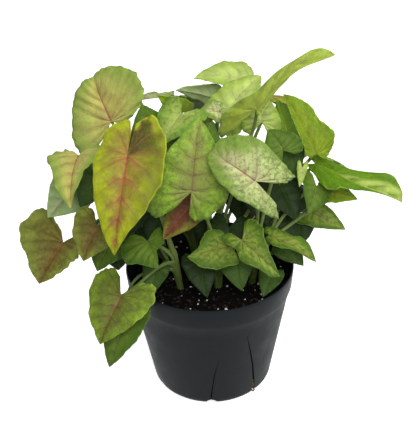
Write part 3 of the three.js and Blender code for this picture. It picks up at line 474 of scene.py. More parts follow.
LEAVES = {
    # the large ones in front
    "leaf_01": grown((-63, -66, 269), (-76, -106, 201), (-96, 24), 63, "amber", fold=10),
    "leaf_02": grown((-14, -70, 236), (-6, -48, 291), (-92, 22), 66, "jade", lobe=0.95, sway=24, skew=0.25,
                     spread=-6),
    "leaf_03": grown((38, -80, 250), (3, -66, 270), (-84, 38), 64, "cream", bend=36),
    "leaf_04": grown((-78, -62, 132), (-97, -85, 98), (-116, 30), 60, "moss"),
    "leaf_05": grown((-82, 15, 261), (-98, 45, 291), (-110, 35), 72, "sand", bend=30, cup=-8),
    "leaf_06": grown((95, 0, 223), (166, -35, 201), (-90, 56), 40, "tipped", bend=10, curl=40, wave=3,
                     sweep=-5),
    "leaf_07": grown((41, -30, 289), (105, -20, 330), (-110, 35), 46, "glow", bend=30, curl=40, fold=12,
                     cup=-20, sweep=8),
    "leaf_08": grown((-130, -20, 162), (-150, -50, 139), (-112, 30), 64, "bronze", fold=18),
    "leaf_09": grown((-107, -30, 253), (-111, -78, 229), (-110, 36), 50, "sand", bend=50, fold=14),
    "leaf_10": grown((55, -40, 174), (90, -65, 163), (-75, 62), 30, "fresh"),
    "leaf_11": grown((28, -55, 180), (58, -80, 159), (-85, 35), 38, "fresh"),
    "leaf_12": grown((18, -42, 166), (-19, -55, 165), (-95, 45), 36, "fresh"),
    "leaf_13": grown((-15, -36, 205), (-39, -48, 179), (-110, 20), 34, "rose"),
    "leaf_14": grown((-53, -40, 173), (-44, -60, 159), (-90, 40), 44, "forest", bend=14),
    "leaf_15": grown((94, -10, 237), (67, 12, 284), (-70, 34), 46, "lime", fold=16),
    # the top
    "leaf_16": grown((42, 56, 277), (-9, 38, 291), (-90, 60), 44, "pale", bend=60),
    "leaf_17": grown((20, 15, 268), (50, 45, 286), (-100, 50), 40, "pale", bend=50),
    "leaf_18": grown((14, 45, 266), (-26, 48, 276), (75, 20), 32, "pale", wave=3),
    "leaf_19": grown((-20, 25, 264), (-40, 5, 289), (-120, 40), 24, "lime"),
    "leaf_20": grown((-22, -8, 278), (-40, -30, 260), (-110, 45), 40, "fleck"),
    "leaf_21": grown((8, 8, 268), (-8, 0, 272), (-90, 50), 24, "cream"),
    "leaf_22": grown((48, 0, 264), (50, 14, 284), (-80, 40), 34, "pale"),
    "leaf_23": grown((74, 14, 238), (65, 34, 270), (-60, 40), 36, "meadow"),
    "leaf_24": grown((-44, -6, 251), (-54, 14, 277), (-80, 30), 44, "forest"),
    # the right side
    "leaf_25": grown((81, -20, 229), (78, -30, 216), (-90, 30), 9, "pale"),
    "leaf_26": grown((106, -2, 195), (131, -15, 194), (-80, 50), 24, "lime"),
    "leaf_27": grown((95, -18, 210), (86, -40, 195), (-70, 24), 30, "forest"),
    "leaf_28": grown((94, 10, 168), (124, 0, 155), (-80, 50), 28, "fresh"),
    "leaf_29": grown((68, -30, 156), (82, -44, 146), (-80, 40), 24, "deep"),
    "leaf_30": grown((64, -4, 204), (76, -22, 180), (-80, 30), 36, "shade"),
    # the left side and low in the shade
    "leaf_31": grown((-95, -48, 194), (-107, -64, 170), (-110, 30), 44, "bronze"),
    "leaf_32": grown((-87, -14, 162), (-100, -35, 141), (-100, 30), 42, "forest"),
    "leaf_33": grown((-117, -4, 208), (-141, -18, 187), (80, 0), 42, "jade"),
    "leaf_34": grown((-75, -62, 105), (-91, -78, 67), (-114, 30), 38, "forest"),
    "leaf_35": grown((-42, -32, 137), (-50, -50, 118), (-95, 35), 24, "deep"),
    "leaf_36": grown((-9, -34, 144), (-3, -54, 122), (-90, 35), 30, "shade"),
    "leaf_37": grown((22, -36, 149), (27, -54, 128), (-85, 35), 32, "deep"),
    "leaf_38": grown((-96, -12, 222), (-110, -28, 202), (-100, 20), 34, "deep"),
    # the back
    "leaf_39": grown((-60, 60, 262), (-92, 92, 236), (130, 45), 58, "cream"),
    "leaf_40": grown((0, 84, 250), (-6, 122, 206), (92, 40), 60, "jade"),
    "leaf_41": grown((56, 72, 256), (80, 112, 222), (60, 45), 58, "amber"),
    "leaf_42": grown((-92, 44, 218), (-138, 60, 186), (150, 45), 56, "sand"),
    "leaf_43": grown((92, 52, 208), (136, 66, 178), (35, 45), 52, "jade"),
    "leaf_44": grown((-40, 92, 194), (-60, 128, 158), (115, 40), 50, "fresh"),
    "leaf_45": grown((34, 96, 196), (46, 130, 160), (80, 40), 50, "cream"),
    "leaf_46": grown((-92, 50, 150), (-122, 68, 116), (145, 45), 44, "fresh"),
    "leaf_47": grown((84, 60, 148), (112, 78, 116), (35, 45), 44, "deep"),
    "leaf_48": grown((-8, 88, 146), (-12, 116, 112), (92, 40), 44, "deep"),
    # small ones that fill in
    "leaf_49": grown((54, -34, 130), (46, -50, 118), (-90, 50), 22, "deep"),
    "leaf_50": grown((-4, 30, 244), (-40, 34, 250), (-90, 75), 40, "pale"),
}

# small leaves inside the clump, each with the stem that it grows on; most wear the near-black painted shade
SHADE_LEAVES = {
    "shade_02": grown((-1, -20, 249), (5, -8, 269), (-90, 40), 30, "forest", stem="e"),
    "shade_03": grown((64, -25, 249), (52, -15, 264), (-90, 40), 36, "forest", stem="c"),
    "shade_05": grown((18, -14, 168), (14, -28, 144), (-100, 25), 34, stem="b"),
    "shade_06": grown((46, 4, 192), (52, -10, 168), (-80, 25), 34, stem="b"),
    "shade_07": grown((60, 0, 163), (73, -12, 144), (-75, 35), 34, stem="c"),
    "shade_08": grown((83, 10, 160), (82, 0, 137), (-85, 30), 32, stem="f"),
    "shade_09": grown((-43, -5, 181), (-53, -18, 157), (-95, 25), 36, stem="a"),
    "shade_10": grown((-69, -10, 186), (-77, -24, 164), (-100, 25), 34, stem="a"),
    "shade_11": grown((-84, -5, 152), (-83, -16, 128), (-100, 25), 40, stem="d"),
    "shade_13": grown((-51, -40, 258), (-53, -32, 284), (-90, 20), 34, "olive", stem="a"),
    "shade_14": grown((83, 8, 191), (77, -2, 172), (-80, 30), 30, stem="f"),
    "shade_16": grown((24, 54, 220), (34, 78, 196), (75, 40), 36, stem="f"),
    "shade_17": grown((-66, 34, 186), (-90, 50, 166), (150, 40), 34, stem="g"),
    "shade_18": grown((80, 42, 182), (98, 60, 160), (35, 40), 34, stem="c"),
    "shade_19": grown((2, 50, 182), (2, 72, 158), (90, 40), 36, stem="g"),
    "shade_21": grown((30, 24, 184), (29, 14, 158), (-90, 30), 34, stem="e"),
    "shade_22": grown((53, 44, 170), (54, 32, 142), (-90, 30), 44, stem="c"),
    "shade_23": grown((1, 24, 153), (-3, 12, 132), (-90, 30), 36, stem="e"),
    "shade_24": grown((-71, 4, 154), (-75, -8, 132), (-100, 30), 34, stem="d"),
    "shade_26": grown((72, -2, 236), (77, -12, 215), (-80, 30), 26, "deep", stem="f"),
}
print("leaves:", len(LEAVES), "and", len(SHADE_LEAVES), "in the shade")


# %% [markdown]
# ## The finish of a blade
# A living leaf is a thin translucent sheet with a waxy skin: satin, never mirror-bright. An arrowhead
# blade is pale in its middle and greener to the margin. Young leaves have a warm blush that lies along the
# midrib and the side veins, and on the pale ones the green breaks up into flecks. Each look is a handful of
# colours for these zones. The zones follow the two maps of the pattern sheet, so they follow every bend of
# the leaf.

# %% Looks of the blades
ZONES = ("middle", "margin", "blush", "rib", "vein", "fleck", "rim")


def painted(slot, flecks, colours, **more):
    """One look: its material slot, how far the flecks break up its ground, and the colours of its zones."""
    return {"slot": slot, "flecks": flecks, **dict(zip(ZONES, map(linear, colours.split()))), **more}


# greener says how much further in the margin's green reaches, in the lobes and at the tip
LOOKS = {
    # amber has painted shade on one back lobe and on that half of the blade
    "amber": painted("lime", 0.45, "#807b26 #929c0a #986838 #97543e #8c5836 #74860c #a9b430",
                     dark_lobe=0.92, greener=(0, 0.5)),
    "sand": painted("blush", 0.6, "#a4a554 #80963b #a98f52 #946348 #a08c56 #6c8436 #7d9444"),
    "moss": painted("blush", 0.4, "#5c6a22 #728921 #665a29 #875a44 #4c501a #5f7426 #8a9c40"),
    "bronze": painted("blush", 0.35, "#615d21 #71792b #6d4f26 #87503a #5a5226 #66752c #8f9548"),
    "jade": painted("pale", 0.85, "#84933b #86a82c #95905a #86704a #76783a #587528 #6f8c38",
                    greener=(0.3, 0.15)),
    "cream": painted("pale", 0.95, "#aeb67a #69822b #b3a583 #8f6456 #938f5a #5f7e2a #7b9644",
                     greener=(-0.35, 0.9)),
    "fleck": painted("pale", 1.0, "#889943 #6b8a2e #a2aa64 #868a4a #7b9040 #567824 #7f9a44"),
    "pale": painted("pale", 0.5, "#a0af5a #88a03e #abb870 #9ea85e #98aa52 #86a044 #8fa448"),
    "glow": painted("lime", 0.2, "#92a138 #839838 #8c9846 #b1b86e #90a04a #7c9234 #cad498"),
    "lime": painted("lime", 0.3, "#6c8208 #66830a #87922a #878634 #889c34 #648410 #9fb24a"),
    "fresh": painted("pale", 0.9, "#788a30 #4c6a16 #7a7e3e #5c5a30 #587024 #3c5a12 #7d983c"),
    "meadow": painted("lime", 0.4, "#587a07 #446506 #61770d #869644 #74912a #406007 #86a440"),
    "tipped": painted("lime", 0.35, "#a6b65c #507407 #5f7c0d #7c9a34 #749122 #4a6c07 #7c9c34",
                      greener=(2.1, -0.8)),
    "forest": painted("deep", 0.5, "#566e18 #42600e #586c2a #687a3c #4c6620 #36500c #64803a"),
    # painted shade in part: a dark green made darker still for leaves low in the clump and at the back
    "deep": painted("deep", 0.5, "#364e16 #2d4510 #3c541e #4f652b #42601f #253b0c #425c24"),
    # painted shade: near-black greens that stand in for the shade deep in the clump
    "shade": painted("deep", 0.3, "#20330d #1b2c0b #24380f #30441c #2a3e15 #172509 #2a4017"),
    # painted shade in part: a dull olive made dark for the leaf seen through the big front leaf's notch
    "olive": painted("deep", 0.3, "#524e26 #464a20 #584c2e #6a5838 #464020 #3c401a #58562a"),
    "rose": painted("rose", 0.3, "#634022 #78781e #7c4034 #885044 #5a3222 #5a5a1e #947636"),
}
# painted shade: the back lobe that rolls away from the light, and the half of the leaf on its side
LOBE_SHADE_COLOUR = linear("#34320f")
SHADED_SIDE = linear("#5e6a0c")
UNDER_TINT = linear("#a9bb8e")


# %% [markdown]
# ## The zones on a blade
# The skin is painted in layers, as a glaze is: the middle's colour first, then the margin's green, the
# blush, the flecks, the veins, the midrib and the thin pale edge. Each layer has an amount that is worked
# out from the two maps, so every leaf gets its own pattern. Map Range turns a distance or a noise into an
# amount. Its inputs 1 and 2 are the range that goes in, and 3 and 4 the range that comes out.

# %% Ranges of the zones
# settings that many nodes share
SMOOTH = dict(interpolation_type="SMOOTHSTEP")
TIMES = dict(operation="MULTIPLY")
TIMES_PLUS = dict(operation="MULTIPLY_ADD")
PLUS = dict(operation="ADD")
MIX = dict(data_type="RGBA", out=2)  # a Mix node's colours are its inputs 6 and 7 and its output 2

PATCH = 100 / 9  # nine patches of colour in 100 mm
SPECK = 3.125
NET_MESH = 5
CLOUD = {"Scale": BLADE_UV_SCALE / PATCH, "Detail": 3.0, "Roughness": 0.6}
MOTTLE = {"Scale": BLADE_UV_SCALE / SPECK, "Detail": 4.0, "Roughness": 0.65}
NET = {"Scale": BLADE_UV_SCALE / NET_MESH}
WANDER = 0.9  # how far the zones stray, as a share of the way out
WAVER = 0.5  # how far the veins stray, in veins
LOBE_TO_TIP = {1: 6.5, 2: 0.2}
GREENER = (0, 0.2)
MARGIN_ZONE = {1: 0.55, 2: 1.0}
RIB_ZONE = {1: 0.7, 2: 0.0}
VEIN_ZONE = {1: 0.95, 2: 0.1, 3: 0.25, 4: 0.95}
CROWDING = 0.14  # flecks are closer together towards the margin
FLECKS = {1: 0.51, 2: 0.7}
# where the painted shade on one lobe and one half lies: the half, the back lobe, how far in, and how much
LEFT_HALF = {1: -0.02, 2: 0.03}
BACK_LOBE = {1: 5.2, 2: 6.2}
INSIDE = {1: 0.95, 2: 0.7}
TURNED_AWAY = {1: 0.02, 2: 0.28, 4: 0.7}
VEIN_LINE = {1: 0.28, 2: 0.06, 4: 0.75}
VEIN_FADE = {1: 0.95, 2: 0.1, 3: 0.2, 4: 1.0}
NET_LINE = {1: 0.09, 2: 0.01, 4: 0.28}
RIB_LINE = {1: 0.05, 2: 0.015}
RIB_END = VEINS_AHEAD * FIRST_LOBE_SPOKE + 0.02
RIM_LINE = {1: 0.95, 2: 0.985, 4: 0.6}
PATCHES = {1: 0.3, 2: 0.7, 3: 0.76, 4: 1.18}
SPECKS = {1: 0.3, 2: 0.7, 3: 0.82, 4: 1.14}
# the quilt is paler between the veins than along them: partly its own tone, partly painted shading
QUILT_SHADING = {1: 0.0, 2: 1.0, 3: 0.9, 4: 1.07}
UNDER_SHARE = 0.55
SUNK_VEIN = -0.6
SKIN_GRAIN = 0.5
SKIN_ROUGHNESS = 0.46
UNDER_ROUGHNESS = 0.62
ROUGHNESS_SPREAD = 0.16


def blade_fields(tree):
    """What the zones are worked out from: places on the two maps, two noises and the nearest vein."""
    lines = add_node(tree, "UVMap", {}, uv_map=VEIN_UV)
    place = add_node(tree, "UVMap", {}, uv_map=BLADE_UV)
    across = add_node(tree, "SeparateXYZ", {"Vector": lines}, out="X")
    number = add_node(tree, "Math", {0: across, 1: VEIN_UV_SCALE}, **TIMES)
    share = add_node(tree, "SeparateXYZ", {"Vector": lines}, out="Y")
    cloud = add_node(tree, "TexNoise", {"Vector": place, **CLOUD})
    fine = add_node(tree, "TexNoise", {"Vector": place, **MOTTLE})
    wander = add_node(tree, "Math", {0: cloud, 1: WANDER, 2: -WANDER / 2}, **TIMES_PLUS)
    ragged = add_node(tree, "Math", {0: share, 1: wander}, **PLUS)
    # how far a place is from the nearest vein: 0 on it and 1 midway
    waver = add_node(tree, "Math", {0: cloud, 1: WAVER, 2: number}, **TIMES_PLUS)
    beat = add_node(tree, "Math", {0: waver, 1: math.pi}, **TIMES)
    swing = add_node(tree, "Math", {0: beat}, operation="SINE")
    off = add_node(tree, "Math", {0: swing}, operation="ABSOLUTE")
    return SimpleNamespace(
        place=place, number=number, share=share, cloud=cloud, fine=fine, ragged=ragged, off=off)


def ground_layers(tree, look, at):
    """The margin's green, the blush along the midrib and the veins, and the flecks."""
    lobe_green, tip_green = look.get("greener", GREENER)
    greener = add_node(tree, "MapRange", {0: at.number, **LOBE_TO_TIP, 3: lobe_green, 4: tip_green})
    outward = add_node(tree, "Math", {0: at.ragged, 1: greener}, **PLUS)
    edge = add_node(tree, "MapRange", {0: outward, **MARGIN_ZONE}, **SMOOTH)
    near_rib = add_node(tree, "MapRange", {0: at.ragged, **RIB_ZONE}, **SMOOTH)
    near_vein = add_node(tree, "MapRange", {0: at.off, **VEIN_ZONE})
    warm = add_node(tree, "Math", {0: near_rib, 1: near_vein}, **TIMES)
    level = add_node(tree, "Math", {0: at.share, 1: CROWDING, 2: at.fine}, **TIMES_PLUS)
    islands = add_node(tree, "MapRange", {0: level, **FLECKS, 4: look["flecks"]}, **SMOOTH)
    return [(edge, look["margin"]), (warm, look["blush"]), (islands, look["fleck"])]


def painted_shade_layers(tree, look, at):
    """Painted shade: a dark back lobe that turns from the light, and a deeper green on the half on its side.
    """
    left = add_node(tree, "SeparateXYZ", {"Vector": at.place}, out="Y")
    aside = add_node(tree, "MapRange", {0: left, **LEFT_HALF}, **SMOOTH)
    behind = add_node(tree, "MapRange", {0: at.number, **BACK_LOBE}, **SMOOTH)
    inner = add_node(tree, "MapRange", {0: at.ragged, **INSIDE, 4: look["dark_lobe"]})
    both = add_node(tree, "Math", {0: aside, 1: behind}, **TIMES)
    shaded_lobe = add_node(tree, "Math", {0: both, 1: inner}, **TIMES)
    away = add_node(tree, "MapRange", {0: left, **TURNED_AWAY}, **SMOOTH)
    return [(shaded_lobe, LOBE_SHADE_COLOUR), (away, SHADED_SIDE)]


def drawn_veins(tree, at):
    """Side veins that thin out towards the margin, with a faint net between them."""
    vein = add_node(tree, "MapRange", {0: at.off, **VEIN_LINE}, **SMOOTH)
    fade = add_node(tree, "MapRange", {0: at.share, **VEIN_FADE})
    veined = add_node(tree, "Math", {0: vein, 1: fade}, **TIMES)
    mesh = add_node(tree, "TexVoronoi", {"Vector": at.place, **NET}, feature="DISTANCE_TO_EDGE")
    net = add_node(tree, "MapRange", {0: mesh, **NET_LINE}, **SMOOTH)
    return add_node(tree, "Math", {0: veined, 1: net}, operation="MAXIMUM")


def edge_layers(tree, look, at):
    """The midrib, a line that tapers with the blade, and the thin pale edge of the margin."""
    line = add_node(tree, "MapRange", {0: at.share, **RIB_LINE}, **SMOOTH)
    ahead = add_node(tree, "Math", {0: at.number, 1: RIB_END}, operation="LESS_THAN")
    rib = add_node(tree, "Math", {0: line, 1: ahead}, **TIMES)
    rim = add_node(tree, "MapRange", {0: at.share, **RIM_LINE}, **SMOOTH)
    return [(rib, look["rib"]), (rim, look["rim"])]


def uneven(tree, colour, at):
    """Lighter and darker patches, so that no two leaves look alike, and the quilt paler between the veins,
    partly as its own tone and partly as painted shading of its relief.
    """
    value = add_node(tree, "MapRange", {0: at.cloud, **PATCHES})
    for noise, span in ((at.fine, SPECKS), (at.off, QUILT_SHADING)):
        value = add_node(tree, "Math", {0: value, 1: add_node(tree, "MapRange", {0: noise, **span})}, **TIMES)
    return add_node(tree, "HueSaturation", {"Value": value, "Color": colour})


def blade_material(name, look, under):
    """A waxy leaf skin that lets a little light through."""
    material, tree, shader = new_material(name)
    at = blade_fields(tree)
    veins = drawn_veins(tree, at)
    layers = ground_layers(tree, look, at)
    # painted shade on a lobe and a half, for a look that has it
    if "dark_lobe" in look:
        layers += painted_shade_layers(tree, look, at)
    layers += [(veins, look["vein"]), *edge_layers(tree, look, at)]
    colour = look["middle"]
    for amount, tint in layers:
        colour = add_node(tree, "Mix", {0: amount, 6: colour, 7: tint}, **MIX)
    colour = uneven(tree, colour, at)
    if under:
        colour = add_node(tree, "Mix", {0: UNDER_SHARE, 6: colour, 7: UNDER_TINT}, **MIX)
    height = add_node(tree, "Math", {0: veins, 1: SUNK_VEIN}, **TIMES)
    height = add_node(tree, "Math", {0: at.fine, 1: SKIN_GRAIN, 2: height}, **TIMES_PLUS)
    smoothest = UNDER_ROUGHNESS if under else SKIN_ROUGHNESS
    fill(shader, {
        "Base Color": colour,
        "Roughness": add_node(tree, "MapRange", {0: at.fine, 3: smoothest, 4: smoothest + ROUGHNESS_SPREAD}),
        "Specular IOR Level": 0.15,
        "Subsurface Weight": 0.25,
        "Subsurface Radius": (1.0, 1.0, 0.35),
        "Subsurface Scale": 1.0 * MM,
        "Normal": add_node(tree, "Bump", {"Strength": 0.7, "Distance": 0.9 * MM, "Height": height}),
    })
    return material


blade_finishes = {
    name: [blade_material(f"leaf {side} {name}", look, side == "underside") for side in ("skin", "underside")]
    for name, look in LOOKS.items()
}
print("leaf finishes:", len(blade_finishes))


# %% [markdown]
# ## Making the blades
# The pattern sheet is copied, its points are carried to their places on the hanging blade, and the two
# halves are welded along the midrib. Solidify then gives the sheet a thin body whose underside carries
# its own material.

# %% Blades
BLADE_THICKNESS = 0.55
PATTERN_SHIFT = 150  # every leaf shows another stretch of the noises


def shape_blade(name, numbers, phase):
    """One leaf blade: the pattern's points carried to the hanging leaf, then welded and thickened."""
    leaf = leaf_frame({**numbers, "name": name, "phase": phase})
    pattern = patterns[leaf["width"] > LARGE_WIDTH]
    blade = pattern.copy()
    blade.data = pattern.data.copy()
    bpy.context.collection.objects.link(blade)
    mesh = blade.data
    flat = np.empty(len(mesh.vertices) * 3)
    mesh.vertices.foreach_get("co", flat)
    x, y = flat.reshape(-1, 3)[:, 0], flat.reshape(-1, 3)[:, 1]
    side = np.where(x < 0, 1.0, -1.0)
    spoke = np.abs(x) * SPOKES
    share = ((y + 1) / 2) ** ROW_CROWDING
    u, v = flat_point(leaf, spoke, side, share)
    spot, facing = blade_point(leaf, u, v, side)
    spot = spot + facing * relief(leaf, spoke, side, share, u, v)[:, None]
    mesh.vertices.foreach_set("co", (spot * MM).ravel())

    corners = np.empty(len(mesh.loops), int)
    mesh.loops.foreach_get("vertex_index", corners)
    vein_map = np.stack([vein_number(spoke, share)[corners] / VEIN_UV_SCALE, share[corners]], 1)
    blade_map = np.stack([u[corners] + PATTERN_SHIFT * leaf["phase"], (side * v)[corners]], 1)
    mesh.uv_layers[VEIN_UV].data.foreach_set("uv", vein_map.ravel())
    mesh.uv_layers[BLADE_UV].data.foreach_set("uv", (blade_map / BLADE_UV_SCALE).ravel())
    mesh.update()

    merge_points(blade)
    for material in blade_finishes[leaf["look"]]:
        mesh.materials.append(material)
    modify(blade, "SOLIDIFY", thickness=BLADE_THICKNESS * MM, offset=0, material_offset=1)
    bpy.ops.object.shade_smooth()
    blade.name = name
    return blade


def seat(piece, node):
    """Moves a mesh so that the middle of its box is the middle of its node's box."""
    spots = np.array([v.co for v in piece.data.vertices])
    low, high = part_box(node)
    move = (np.array(low) + np.array(high)) / 2 - (spots.min(0) + spots.max(0)) / 2
    piece.data.transform(Matrix.Translation(move))
    moves[node] = np.linalg.norm(move) / MM


def dress_leaf(name, numbers, phase):
    """The fine blade of one leaf node, in that node's place."""
    blade = shape_blade(name, numbers, phase)
    seat(blade, name)
    slot = LOOKS[numbers["look"]]["slot"]
    return finish_piece(blade, name.replace("leaf", "blade"), slot, name)


moves = {}
blades = [dress_leaf(name, numbers, phase) for phase, (name, numbers) in enumerate(LEAVES.items())]
shade_blades = [
    shape_blade(name, numbers, phase) for phase, (name, numbers) in enumerate(SHADE_LEAVES.items())
]
for pattern in patterns.values():
    bpy.data.objects.remove(pattern)
print("blades:", len(blades), "largest seat move", round(max(moves.values()), 1), max(moves, key=moves.get))


# %% [markdown]
# ## Stems and stalks
# Each stem with its leaf stalks is one grown piece. The solid node is a bundle of few-sided tubes with the
# shade leaves grown onto it. A copy of it loses the faces of those leaves, which have fine blades now. It is
# welded, turned back into quads and smoothed with subdivision, and its ends are creased so that every stalk
# still reaches its blade. Smoothing draws a thin tube in, and Displace gives the lost thickness back.

# %% Stalks
STALK_QUAD_ANGLE = 50
STALK_CREASE_ANGLE = 80
STALK_SWELL = 0.33
STALK_PATCH = 4.55
SHADED_BELOW = 100  # painted shade: the stalks are darker below this height
LIT_ABOVE = 190  # and painted as lit above this one
# the top of each stem, where the youngest leaf is still rolled up in a point
STEM_TOPS = dict(
    a=(-30, -24, 148), b=(8, -24, 142), c=(42, -16, 146), d=(-44, 18, 148), e=(4, 4, 160), f=(34, 34, 148),
    g=(-16, 46, 148),
)
CAP_RADIUS = 3.9  # the points of a stem's flat end lie this near its top
CAP_DEPTH = 1.2
POINT_WIDTH = 0.4  # as a share of the stem
POINT_RISE = 4
BLADE_SHELL = 1.7  # a solid shade leaf's own faces lie this close to its fine blade


def stalk_material():
    """A smooth waxy stalk, green, with painted shade that darkens it down in the clump."""
    material, tree, shader = new_material("leaf stalk skin")
    place = add_node(tree, "TexCoord", {}, out="Object")
    height = add_node(tree, "SeparateXYZ", {"Vector": place}, out="Z")
    rise = add_node(tree, "MapRange", {0: height, 1: SHADED_BELOW * MM, 2: LIT_ABOVE * MM}, **SMOOTH)
    patch = add_node(tree, "TexNoise", {"Vector": place, "Scale": 1 / (STALK_PATCH * MM), "Detail": 2.0})
    # painted shade: the low colours are the stalk in shade, the high ones the stalk in light
    low = add_node(tree, "Mix", {0: patch, 6: linear("#2a3a16"), 7: linear("#43541f")}, **MIX)
    high = add_node(tree, "Mix", {0: patch, 6: linear("#5f7336"), 7: linear("#82944f")}, **MIX)
    fill(shader, {
        "Base Color": add_node(tree, "Mix", {0: rise, 6: low, 7: high}, **MIX),
        "Roughness": 0.45,
        "Specular IOR Level": 0.2,
        "Subsurface Weight": 0.25,
        "Subsurface Radius": (1.0, 1.0, 0.4),
        "Subsurface Scale": 1.5 * MM,
    })
    return material


def drop_blades(piece, own):
    """Deletes the faces that lie along the fine blades of a stem's own shade leaves."""
    mesh = piece.data
    spots = [piece.matrix_world @ v.co for v in mesh.vertices]
    close = np.zeros(len(spots), bool)
    for blade in own:
        faces = [tuple(f.vertices) for f in blade.data.polygons]
        tree = BVHTree.FromPolygons([v.co for v in blade.data.vertices], faces)
        close |= np.array([tree.find_nearest(spot, BLADE_SHELL * MM)[0] is not None for spot in spots])
    select_only(piece)
    bpy.ops.object.mode_set(mode="EDIT")
    bpy.ops.mesh.select_mode(type="FACE")
    bpy.ops.mesh.select_all(action="DESELECT")
    bpy.ops.object.mode_set(mode="OBJECT")
    for face in mesh.polygons:
        face.select = all(close[i] for i in face.vertices)
    bpy.ops.object.mode_set(mode="EDIT")
    bpy.ops.mesh.delete(type="FACE")
    bpy.ops.object.mode_set(mode="OBJECT")


def point_stem(piece, top):
    """Draws the flat end of a stem out to a point, and leaves its edges free to be rounded."""
    mesh = piece.data
    ends = set()
    for corner in mesh.vertices:
        away = corner.co - top
        if abs(away.z) < CAP_DEPTH * MM and away.length < CAP_RADIUS * MM:
            corner.co = top + away * POINT_WIDTH + Vector((0, 0, POINT_RISE * MM))
            ends.add(corner.index)
    for edge in mesh.edges:
        if ends.intersection(edge.vertices):
            edge.select = False


def smooth_stalks(node, material):
    """A stem and its stalks, as a smoothed copy of the solid node."""
    piece = loose_copy(node)
    piece.data.materials.append(material)
    drop_blades(piece, shade_of[node[-1]])
    merge_points(piece)
    bpy.ops.object.mode_set(mode="EDIT")
    bpy.ops.mesh.select_all(action="SELECT")
    bpy.ops.mesh.tris_convert_to_quads(
        face_threshold=math.radians(STALK_QUAD_ANGLE), shape_threshold=math.radians(STALK_QUAD_ANGLE))
    bpy.ops.mesh.select_mode(type="EDGE")
    bpy.ops.mesh.select_all(action="DESELECT")
    bpy.ops.mesh.edges_select_sharp(sharpness=math.radians(STALK_CREASE_ANGLE))
    bpy.ops.object.mode_set(mode="OBJECT")
    point_stem(piece, Vector(STEM_TOPS[node[-1]]) * MM)
    bpy.ops.object.mode_set(mode="EDIT")
    bpy.ops.transform.edge_crease(value=1)
    bpy.ops.object.mode_set(mode="OBJECT")
    modify(piece, "SUBSURF", levels=2, render_levels=2)
    modify(piece, "DISPLACE", strength=STALK_SWELL * MM, mid_level=0)
    bpy.ops.object.shade_smooth()
    return finish_piece(piece, node.replace("stalks", "stems"), "stalk", node)


stalk_skin = stalk_material()
shade_of = {key: [b for b in shade_blades if SHADE_LEAVES[b.name]["stem"] == key] for key in STEM_TOPS}
stems = [smooth_stalks(f"stalks_{key}", stalk_skin) for key in STEM_TOPS]
for key, own in shade_of.items():
    join_all(own, f"shade_leaves_{key}", "deep", f"stalks_{key}")
print("stems:", len(stems), sum(len(s.data.polygons) for s in stems), "faces")


# %% [markdown]
# ## The pot
# The pot is injection-moulded black polypropylene, a millimetre or two thick: a tapered wall on a rounded
# foot, with a wider collar under the rolled lip. Its half outline is drawn point by point from the middle
# of the floor, up the outside, over the lip and down the inside, and spun about the upright axis. The wall
# has a ring every few millimetres, so that the cuts made later stay local and don't spoil its smoothness.

# %% Pot body
POT_HEIGHT = 123
RIM_RADIUS = 77.5
BASE_RADIUS = 56.5
POT_WALL = 1.6
FOOT_RADIUS = 10
FOOT_END = -8  # the foot's rounding meets the wall's slope at this angle, in degrees
COLLAR = [(73.3, 98), (74.6, 101), (75.9, 105), (77.3, 119)]
COLLAR_LIFT = 0.4  # the collar's bends are this much higher inside
LIP = [(RIM_RADIUS, -0.9), (77.2, -0.2), (76.7, 0), (76.1, -0.3), (75.9, -1)]  # heights from the top
POT_STEPS = 128
WALL_RINGS = 10
OUTER_FOOT_STEPS = 8
INNER_FOOT_STEPS = 6


def quarter(radius, steps):
    """Points round the pot's foot, from its lowest place to the wall."""
    turns = [math.radians(-90 + (FOOT_END + 90) * i / steps) for i in range(steps + 1)]
    middle = BASE_RADIUS - FOOT_RADIUS
    return [(middle + radius * math.cos(t), FOOT_RADIUS + radius * math.sin(t)) for t in turns]


def rings(low, high):
    """Points at even steps between two places, without the first."""
    return [tuple(a + (b - a) * i / WALL_RINGS for a, b in zip(low, high)) for i in range(1, WALL_RINGS + 1)]


def turned(name, outline, steps):
    """A round body: a single point is extruded along the half outline, then all of it is spun."""
    bpy.ops.object.select_all(action="DESELECT")
    bpy.ops.mesh.primitive_plane_add(size=MM)
    piece = bpy.context.object
    piece.name = name
    bpy.ops.object.mode_set(mode="EDIT")
    bpy.ops.mesh.select_mode(type="VERT")
    bpy.ops.mesh.merge(type="CENTER")
    last = Vector((0, 0, 0))
    for number, (across, high) in enumerate(outline):
        spot = Vector((across, 0, high)) * MM
        if number:
            bpy.ops.mesh.extrude_region_move(TRANSFORM_OT_translate={"value": spot - last})
        else:
            bpy.ops.transform.translate(value=spot)
        last = spot
    bpy.ops.mesh.select_all(action="SELECT")
    bpy.ops.mesh.spin(steps=steps, angle=2 * math.pi, center=(0, 0, 0), axis=(0, 0, 1))
    bpy.ops.mesh.select_all(action="SELECT")
    bpy.ops.mesh.remove_doubles(threshold=WELD * MM)
    bpy.ops.mesh.normals_make_consistent(inside=False)
    bpy.ops.object.mode_set(mode="OBJECT")
    return piece


outer_foot = quarter(FOOT_RADIUS, OUTER_FOOT_STEPS)
inner_foot = quarter(FOOT_RADIUS - POT_WALL, INNER_FOOT_STEPS)
lip = [(across, POT_HEIGHT + high) for across, high in LIP]
inside = [(across - POT_WALL, high + COLLAR_LIFT) for across, high in reversed(COLLAR)]
outline = [(0, 0), *outer_foot, *rings(outer_foot[-1], COLLAR[0]), *COLLAR[1:]]
outline += [*lip, *inside, *reversed(inner_foot), (0, POT_WALL)]
pot = turned("nursery_pot", outline, POT_STEPS)
print("pot:", len(pot.data.vertices), "vertices")


